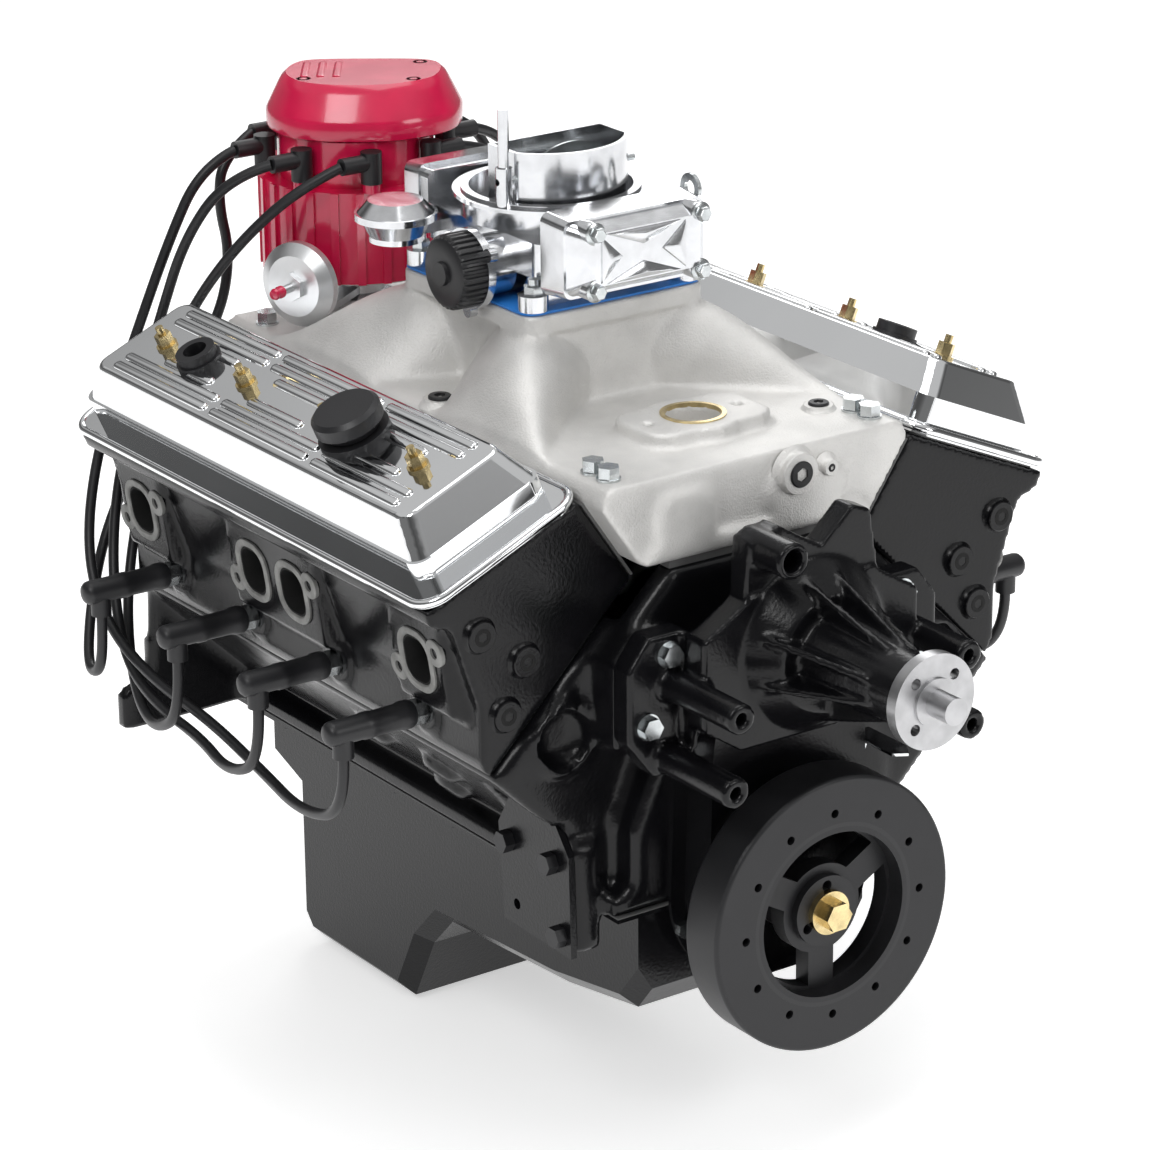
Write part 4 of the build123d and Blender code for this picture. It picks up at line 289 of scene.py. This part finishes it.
# The first of the slots that share each finish, by the finish's name.
slots = {material.name: slot for slot, material in reversed(finishes.items())}
slots.update({"bare_iron": "machined_steel", "painted_shade": "black_iron"})
for part in frame["record"]["subparts"]:
    for holder in nodes[part["node"]].material_slots:
        holder.material = finishes[part["material_slot"]]
print("finishes", len(bpy.data.materials))

# %% [markdown]
# ## Plug leads
# Each lead is a limp silicone cord, 8 mm thick, from its cap boot behind the head and along under the
# plugs. The points are the CAD route's, and one smooth spline runs through their neighbourhood.

# %% Leads
# A near lead is its terminal on the cap and the points of its route. A far lead is its terminal, its own
# first points, and how many points of the near route they stand in for before its mirror image goes on.
near_routes = (
    (3, [(-140, -4, 428), (-165, 6, 372), (-196, 12, 296), (-232, 10, 220), (-256, -10, 150),
         (-264, -52, 106), (-262, -115, 82), (-258, -190, 74), (-262, -270, 62), (-278, -350, 62)]),
    (4, [(-140, -42, 428), (-163, -16, 380), (-176, 2, 318), (-200, 8, 245), (-222, 2, 185),
         (-240, -20, 128), (-258, -66, 82), (-266, -128, 66), (-266, -190, 62), (-278, -250, 58)]),
    (5, [(-104, -86, 424), (-134, -56, 386), (-154, -22, 338), (-166, 4, 290), (-182, 6, 232),
         (-202, 3, 172), (-223, -12, 118), (-244, -48, 76), (-262, -95, 54), (-277, -146, 56)]),
    (2, [(-104, 25, 424), (-110, 24, 390), (-104, 19, 350), (-116, 16, 305), (-150, 16, 262),
         (-190, 16, 212), (-226, 10, 160), (-256, -14, 112), (-279, -46, 70)]),
)
far_starts = (
    (0, [(98, -8, 430), (126, -4, 386), (160, -2, 330)], 2),
    (7, [(98, -52, 428), (128, -36, 384)], 2),
    (6, [(62, -93, 430), (92, -78, 402), (120, -56, 366)], 2),
    (1, [(58, 27, 424), (74, 21, 390), (88, 12, 350), (108, 2, 305)], 4),
)
banks = ((-1, "right"), (1, "left"))
bore_spacing, bank_offset, block_rear = 111.76, 22.35, 36.7
distributor = np.array([-23.0, -35.0])
terminal_circle, terminal_height, cap_arm = 69, 438, 26
boot_x, boot_foot, lead_low = 283.5, 128.0, 84.0
lead_radius = 0.004


def bank_middle(bank):
    """The Y of a bank's middle; the far bank stands one offset further forward."""
    return -block_rear - 2 * bore_spacing - bank * bank_offset / 2


def bore_y(bank, index):
    """The Y of a bore, with the four of a bank counted from the front."""
    return bank_middle(bank) + (index - 1.5) * bore_spacing


def terminal(index):
    """A cap terminal: eight on a circle, half a step off the X axis."""
    turn = math.radians(22.5 + 45 * index)
    return distributor + terminal_circle * np.array([math.cos(turn), math.sin(turn)])


def lead_points(bank, index):
    """The route of one lead, from the cap boot's arm to the plug boot's foot."""
    if bank < 0:
        place, middle = near_routes[index]
    else:
        place, middle, dropped = far_starts[index]
        middle = middle + [(-x, y - bank_offset, z) for x, y, z in near_routes[index][1][dropped:]]
    x, y = terminal(place)
    arm = cap_arm if x > distributor[0] else -cap_arm
    end = [(bank * boot_x, bore_y(bank, index), height) for height in (lead_low, boot_foot)]
    return [(x + arm, y, terminal_height)] + middle + end


def spline_length(curve):
    """The length of a curve with no bevel, from its evaluated points."""
    mesh = bpy.data.meshes.new_from_object(curve.evaluated_get(bpy.context.evaluated_depsgraph_get()))
    points = np.array([corner.co for corner in mesh.vertices])
    return float(np.linalg.norm(np.diff(points, axis=0), axis=1).sum())


for bank, word in banks:
    for index in range(4):
        points = np.array(lead_points(bank, index)) / 1000
        data = bpy.data.curves.new(f"lead_{word}_{index + 1}", "CURVE")
        data.dimensions = "3D"
        line = data.splines.new("NURBS")
        line.points.add(len(points) - 1)
        line.points.foreach_set("co", np.column_stack([points, np.ones(len(points))]).ravel())
        line.order_u = 3
        line.use_endpoint_u = True
        data.resolution_u = 12
        lead = bpy.data.objects.new(data.name, data)
        bpy.context.collection.objects.link(lead)
        bpy.context.view_layer.update()
        length = spline_length(lead)
        data.bevel_depth = lead_radius
        data.bevel_resolution = 5
        data.use_fill_caps = True
        data.materials.append(rubber)
        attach(lead, "engine")
        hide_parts(f"plug_lead_{word}_{index + 1}")
        print(data.name, "length", round(length, 3))

# %% [markdown]
# ## Castings
# Iron and aluminium castings have no sharp edges: every corner is a small fillet from the sand mould.
# A voxel remesh of the CAD solid followed by a few rounds of smoothing gives all the fillets at once.


# %% Rounded copies of the castings
def casting(name, grid, rounds, material, node, openings=()):
    """A copy of a CAD node, remeshed on a grid of so many millimetres and smoothed so many rounds.
    Openings are shells that are cut out of it first."""
    work = bmesh.new()
    work.from_mesh(nodes[node].data)
    bmesh.ops.remove_doubles(work, verts=work.verts, dist=1e-5)
    mesh = bpy.data.meshes.new(name)
    work.to_mesh(mesh)
    work.free()
    thing = bpy.data.objects.new(name, mesh)
    bpy.context.collection.objects.link(thing)
    if openings:
        cut = thing.modifiers.new("openings", "BOOLEAN")
        cut.object = bpy.data.objects.new("openings", mesh_of("openings", openings))
        bpy.context.collection.objects.link(cut.object)
    cubes = thing.modifiers.new("grid", "REMESH")
    cubes.mode = "VOXEL"
    cubes.voxel_size = grid / 1000
    cubes.use_smooth_shade = True
    ease = thing.modifiers.new("fillets", "SMOOTH")
    ease.factor = 0.5
    ease.iterations = rounds
    finished = bpy.data.meshes.new_from_object(thing.evaluated_get(bpy.context.evaluated_depsgraph_get()))
    finished.name = name
    if openings:
        bpy.data.objects.remove(cut.object)
    thing.modifiers.clear()
    thing.data = finished
    finished.materials.clear()
    finished.materials.append(material)
    finished.shade_smooth()
    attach(thing, "engine")
    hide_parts(node)
    print(name, "faces", len(finished.polygons))


casting("block_casting", 5.0, 2, iron_paint, "cylinder_block")
port_x, port_z = 234.8, 194
face_slope = np.array([12.0, 78.0]) / math.hypot(12, 78)
port_outline = rounded(33, 37, 13)
port_shifts = (-187, -27, 27, 187)
port_depths = ((0, -32), (0, 12))


def port_place(sign, shift):
    """The middle of one exhaust port on its sloping face, which looks out and a little down."""
    return base((sign * port_x, bank_middle(sign) + shift, port_z), (sign * face_slope[1], 0, -face_slope[0]))


for sign, word in banks:
    holes = [stack(port_outline, port_depths, port_place(sign, shift)) for shift in port_shifts]
    casting(f"head_casting_{word}", 3.2, 2, iron_paint, f"head_{word}", openings=holes)
casting("manifold_casting", 3.0, 3, raw_casting, "intake_manifold")
casting("pump_casting", 2.2, 3, iron_paint, "water_pump_housing")

# %% [markdown]
# ## Rocker covers
# The covers are pressed steel, chromed. The top carries rows of raised pads, pressed by the same die,
# and the lip is rolled into a bead that stiffens it.

# %% Pads and beads of the covers
cover_x, cover_z = 196, 273
cover_sine, cover_cosine = 0.39875, 0.91706
top_lift, bead_lift, bead_radius = 54.6, 6.0, 3.2
outer_pads = ((-190, -62), (-54, 74), (82, 190))
inner_pads = ((-150, -86), (-34, 36), (70, 160))
pad_rows = ((-34, outer_pads), (-23, outer_pads), (-12, inner_pads), (12, inner_pads), (23, outer_pads),
            (34, outer_pads))
pad_levels = ((0.6, -1.0), (0.4, 0.4), (-0.5, 1.6), (-1.4, 2.0), (-2.6, 2.1))
for sign, word in banks:
    tilt = np.array([sign * cover_sine, 0, cover_cosine])
    middle = np.array([sign * cover_x, bank_middle(sign), cover_z])
    top = base(middle + tilt * top_lift, tilt)
    pads = [stack(rounded(end - start, 7.5, 3.5, centre=((start + end) / 2, row)), pad_levels, top)
            for row, spans in pad_rows for start, end in spans]
    piece(f"cover_pads_{word}", pads, chrome)
    rim = rounded(478, 135, 18, count=12)
    rim = np.column_stack([np.concatenate([rim, rim[:2]]), np.zeros(len(rim) + 2)])
    bead = tube(put(rim, base(middle + tilt * bead_lift, tilt)), bead_radius)
    piece(f"cover_bead_{word}", [bead], chrome)
print("cover pads and beads made")

# %% [markdown]
# ## Exhaust ports
# The manifold faces of the heads are left bare after machining, so each port has a rim of grey iron.
# Beside the ports are the threaded lugs, and inside each port is a near-black cup of painted shade for the
# depth of the port.

# %% Rims and cups of the exhaust ports
rim_levels = ((5.0, -2.0), (5.0, 0.8), (4.4, 1.2), (0.4, 1.2), (-0.6, 0.2), (-0.9, -2.0), (5.0, -2.0))
cup_levels = ((-0.9, -31), (-0.9, 0.1), (-2.2, 0.1), (-2.2, -30))
lug_profile = ((10, -2), (10, 0.6), (9.4, 1.0), (4.2, 1.0), (4, -1.5))
lug_x, lug_y = 25.0, 13.0
for sign, word in banks:
    rims, cups = [], []
    for shift in port_shifts:
        place = port_place(sign, shift)
        rims.append(uncapped(stack(port_outline, rim_levels, place)))
        cups.append(stack(port_outline, cup_levels, place))
        ends = (-1, 1) if abs(shift) > 100 else (int(np.sign(shift)) * sign,)
        for end in ends:
            lug = spot_on(place, end * lug_x, end * lug_y)
            rims.append(lathe(lug_profile, base(lug, place[3]), 28))
    piece(f"port_rims_{word}", rims, bare_iron)
    # The cups are painted shade: near-black linings that darken the depth of each port.
    piece(f"port_cups_{word}", cups, painted_shade)
print("port rims made")

# %% [markdown]
# ## Distributor
# The red coil cover is one moulding with a soft edge and slanting ribs. A cubic through its corner
# points gives the smooth outline in plan.


# %% Coil cover and vacuum nipple
def soft_outline(corners, count=12):
    """A closed curve through corner points: between two of them it is a cubic, whose slope at each
    corner is that of the line between the corner's neighbours."""
    corners = np.array(corners, float)
    step = np.linspace(0, 1, count, endpoint=False)[:, None, None]
    before, after, last = np.roll(corners, 1, 0), np.roll(corners, -1, 0), np.roll(corners, -2, 0)
    slope = after - before
    square = 2 * before - 5 * corners + 4 * after - last
    cube = 3 * corners - before - 3 * after + last
    curve = 0.5 * (2 * corners + slope * step + square * step ** 2 + cube * step ** 3)
    return curve.transpose(1, 0, 2).reshape(-1, 2)


cover_axes = (np.array([distributor[0], distributor[1], 450.0]), np.array([0.821, -0.571, 0.0]),
              np.array([0.571, 0.821, 0.0]), np.array([0.0, 0.0, 1.0]))
cover_plan = soft_outline(((-66, -8), (-50, -43), (-18, -60), (30, -60), (65, -40), (79, -14), (79, 24),
                           (58, 47), (8, 52), (-40, 49), (-61, 28)))
cover_levels = ((-4, 0), (-0.5, 2), (0, 5), (0, 14), (-1.5, 17), (-10, 34), (-12.5, 38), (-16, 41))
rib_levels = ((0, 38), (0, 41.4), (-1.2, 42.0), (-2, 42.0))
screw_boss = ((6.5, 20), (6.5, 40), (5.5, 41), (3, 41), (2.6, 39))
cover = [stack(cover_plan, cover_levels, cover_axes)]
for shift in (-36, -24, -12):
    cover.append(stack(rounded(6, 46, 2.8, centre=(shift, 2)), rib_levels, cover_axes))
for x, y in ((-36.08, -24.6), (45.92, -27.88), (49.2, 24.6)):
    cover.append(lathe(screw_boss, base(spot_on(cover_axes, x, y), (0, 0, 1)), 24))
coil = piece("coil_cover_moulding", cover, red_cap)
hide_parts("coil_cover")
can_middle, can_out, can_depth = np.array([-104.0, -86.0, 352.0]), np.array([-0.92, -0.39, 0.0]), 27
nipple_profile = ((4.6, 0), (4.6, 3), (3.8, 4), (3.8, 7), (4.4, 8), (3.6, 10), (1, 10.5))
nipple = lathe(nipple_profile, base(can_middle + can_depth * can_out, can_out), 24)
piece("vacuum_nipple", [nipple], red_cap)
print("distributor made")


# %% [markdown]
# ## Carburettor
# The choke's moulded cap has a knurled rim. The fuel bowl is a die casting with a raised panel of flat
# triangles that stiffens it, and four plated screws hold it.


# %% Choke cap, fuel bowl panel and screws
def screw(place, across, head, washer=1.6):
    """A hexagon screw head on a washer; the head's upper edge is chamfered."""
    hexagon = across / math.sqrt(3) * circle(6)[1]
    ring_radius = across * 0.85
    ring = ((ring_radius, 0), (ring_radius, washer - 0.3), (ring_radius - 0.4, washer), (1, washer))
    top = washer + head
    levels = ((0, washer), (0, top - 1), (-0.9, top), (-2, top))
    return [lathe(ring, place, 28), stack(hexagon, levels, place)]


turn, round_plan = circle(192)
knurl = (26.2 + 0.9 * np.clip(2.2 * np.cos(32 * turn), -1, 1))[:, None] * round_plan
plain = 24.6 * round_plan
choke_levels = ((knurl, 0), (knurl, 15), (knurl * 0.98, 17), (plain, 18.5), (plain * 0.9, 20),
                (plain * 0.5, 20), (plain * 0.36, 20.2), (plain * 0.34, 23))
choke = piece("choke_cap_moulding", [loft(choke_levels, base((-89.0, -284.0, 407.0), (-1, 0, 0)))], moulded)
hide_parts("choke_cap")
forward = (0, -1, 0)
bowl_face = base((-6, -387.6, 430), forward)
facet_levels = ((1.0, -12.0), (1.0, 0.6), (0.93, 1.6), (0.55, 2.6), (0.05, 3.4))
pillar_profile = ((7.5, -16), (7.5, -1), (6.8, 0), (1, 0))
panel = []
for low, peak, high in (((-40, -17), (-22, 0), (-40, 17)), ((-36, 18), (-4, 6), (28, 18)),
                        ((-36, -18), (-4, -6), (28, -18)), ((32, 17), (12, 0), (32, -17))):
    triangle = np.array([low, peak, high], float)
    edge = np.concatenate([np.linspace(triangle[k], triangle[(k + 1) % 3], 6, endpoint=False)
                           for k in range(3)])
    centre = triangle.mean(axis=0)
    levels = [(centre + (edge - centre) * size, height) for size, height in facet_levels]
    panel.append(loft(levels, bowl_face))
screws = []
for x, z in ((-50, 449), (40, 449), (-50, 408), (40, 408)):
    place = base((x, -386, z), forward)
    screws += screw(place, 9.5, 6)
    panel.append(lathe(pillar_profile, place, 28))
piece("bowl_panel", panel, polished)
piece("bowl_screws", screws, zinc)
print("carburettor made")

# %% [markdown]
# ## Thermostat seat
# The water outlet of the manifold is bored for the thermostat, and a gold plated ring lines the bore.
# Its profile comes back to its own start, so it is turned round the bore's axis and needs no caps.

# %% Thermostat seat
seat_profile = ((20.2, -16), (20.2, 0.3), (23.5, 0.3), (23.5, -1), (20.6, -16), (20.2, -16))
seat = lathe(seat_profile, base((0, -432, 322.6), (0, 0, 1)), 48)
piece("thermostat_seat", [uncapped(seat)], gold)
print("thermostat seat made")

# %% [markdown]
# ## Bosses and plugs
# The manifold has cast bosses whose threaded holes are closed by black plugs, and the front ends of the
# heads have bosses with threaded holes for brackets. The castings' coarse grid would wash such small
# shapes out, so each boss is turned and laid on its casting, and the holes of the heads are near-black
# sockets of painted shade.


# %% Bosses and plugs of the manifold and heads
def boss(place, radius, height):
    """A cast boss with a filleted foot and a flat machined top."""
    profile = ((radius + 4, -2), (radius + 2.2, 0.3), (radius + 0.6, 1.6), (radius, 3.5),
               (radius, height - 0.6), (radius - 0.6, height), (0.5, height))
    return lathe(profile, place, 40)


def plug(place, radius, height):
    """A screw plug with a small chamfer and a hexagon socket, whose sides are 0.92 of the radius apart."""
    turn, outline = circle(36)
    key = outline * (0.46 * radius / np.cos((turn + np.pi / 6) % (np.pi / 3) - np.pi / 6))[:, None]
    return loft(((outline * radius, -2), (outline * radius, height - 0.8), (outline * (radius - 0.8), height),
                 (key, height), (key, height - 4)), place)


# Each boss of the manifold: its foot, its direction, its radius and height, and its plug's.
manifold_bosses = (((28.9, -511.0, 294.8), forward, 15, 7, 9.5, 1.6),
                   ((57.5, -510.5, 293.0), forward, 6, 5, 3, 0.8),
                   ((-111.7, -281.4, 311.6), (0, 0, 1), 12, 3.6, 8.5, 2.4),
                   ((95.0, -452.0, 311.5), (0, 0, 1), 11, 3.6, 7.5, 2))
bosses, plugs = [], []
for foot, out, radius, height, plug_radius, plug_height in manifold_bosses:
    place = base(foot, out)
    bosses.append(boss(place, radius, height))
    plugs.append(plug(base(place[0] + height * place[3], out), plug_radius, plug_height))
piece("manifold_bosses", bosses, raw_casting)
piece("manifold_plugs", plugs, black_iron)
head_front = -484.0
for sign, word in banks:
    face_y = head_front - (sign > 0) * bank_offset
    ends = [base((sign * x, face_y, z), forward) for x, z in ((216, 222), (180, 196), (196, 160))]
    holes = [base(end[0] - (0, 4.8, 0), forward) for end in ends]
    piece(f"head_end_bosses_{word}", [boss(end, 11, 5) for end in ends], iron_paint)
    # The holes are painted shade: near-black sunken discs with a socket, where the threaded holes would be
    # dark.
    piece(f"head_end_holes_{word}", [plug(hole, 7, 0.5) for hole in holes], painted_shade)
print("bosses and plugs made")

# %% [markdown]
# ## Plug boots
# The boots are moulded silicone, with a ring at the mouth where they grip the plug, a ring to pull
# at and a round end.

# %% Plug boots
boot_end_x, boot_height = 292, 147
boot_profile = ((7, -63), (9.7, -62.6), (10.2, -61), (10.2, -55), (9.2, -52), (9.0, -32), (9.6, -30),
                (9.6, -24), (9.0, -22), (9.0, 0), (8.5, 2.4), (6.8, 4.6), (3.8, 5.8), (0.4, 6.2))
for bank, word in banks:
    places = [base((bank * boot_end_x, bore_y(bank, index), boot_height), (bank, 0, 0)) for index in range(4)]
    piece(f"plug_boots_{word}", [lathe(boot_profile, place, 32) for place in places], rubber)
print("plug boots made")

# %% [markdown]
# ## Floor and light
# A plain pale floor just under the sump, and large soft lamps as in a photo studio. The world is white
# behind the object, with a soft darkening toward the horizon that gives the chrome its contrast.

# %% Stage
floor_half, floor_z = 6, -0.2
floor_mesh = bpy.data.meshes.new("floor")
floor_corners = [(x * floor_half, y * floor_half, floor_z) for x, y in ((-1, -1), (1, -1), (1, 1), (-1, 1))]
floor_mesh.from_pydata(floor_corners, [], [(0, 1, 2, 3)])
floor = bpy.data.objects.new("floor", floor_mesh)
bpy.context.collection.objects.link(floor)
pale = bpy.data.materials.new("pale_floor")
pale.use_nodes = True
look = pale.node_tree.nodes["Principled BSDF"]
look.inputs["Base Color"].default_value = (0.9, 0.9, 0.9, 1)
look.inputs["Roughness"].default_value = 0.8
look.inputs["Emission Color"].default_value = (1, 1, 1, 1)
look.inputs["Emission Strength"].default_value = 0.55
floor_mesh.materials.append(pale)


def lamp(name, spot, size, power):
    """A square area lamp at a spot in metres that faces the engine's middle."""
    light = bpy.data.lights.new(name, "AREA")
    light.size = size
    light.energy = power
    thing = bpy.data.objects.new(name, light)
    thing.location = spot
    thing.rotation_euler = (Vector(target) - Vector(spot)).to_track_quat("-Z", "Y").to_euler()
    bpy.context.collection.objects.link(thing)


lamp("key", (-2.2, -1.6, 2.6), 1.3, 30)
lamp("front", (0.9, -2.8, 1.4), 1.0, 14)
lamp("top", (0.3, -0.2, 2.8), 1.8, 24)
lamp("rear", (1.6, 1.9, 1.8), 1.2, 14)

# %% World
world = bpy.data.worlds.new("studio")
bpy.context.scene.world = world
world.use_nodes = True
sky = world.node_tree
sky.nodes.clear()
out = sky.nodes.new("ShaderNodeOutputWorld")
mix = sky.nodes.new("ShaderNodeMixShader")
lit = sky.nodes.new("ShaderNodeBackground")
seen = sky.nodes.new("ShaderNodeBackground")
seen.inputs["Color"].default_value = (1, 1, 1, 1)
path = sky.nodes.new("ShaderNodeLightPath")
direction = sky.nodes.new("ShaderNodeTexCoord")
split = sky.nodes.new("ShaderNodeSeparateXYZ")
ramp = sky.nodes.new("ShaderNodeValToRGB")
ramp.color_ramp.elements[0].position = 0.0
ramp.color_ramp.elements[0].color = (0.3, 0.3, 0.3, 1)
ramp.color_ramp.elements[1].position = 1.0
ramp.color_ramp.elements[1].color = (0.95, 0.95, 0.95, 1)
for position, level in ((0.25, 0.3), (0.36, 0.12), (0.46, 0.2), (0.6, 0.95)):
    step = ramp.color_ramp.elements.new(position)
    step.color = (level, level, level, 1)
sky.links.new(direction.outputs["Generated"], split.inputs["Vector"])
sky.links.new(split.outputs["Z"], ramp.inputs["Fac"])
sky.links.new(ramp.outputs["Color"], lit.inputs["Color"])
lit.inputs["Strength"].default_value = 0.6
sky.links.new(path.outputs["Is Camera Ray"], mix.inputs["Fac"])
sky.links.new(lit.outputs["Background"], mix.inputs[1])
sky.links.new(seen.outputs["Background"], mix.inputs[2])
sky.links.new(mix.outputs["Shader"], out.inputs["Surface"])
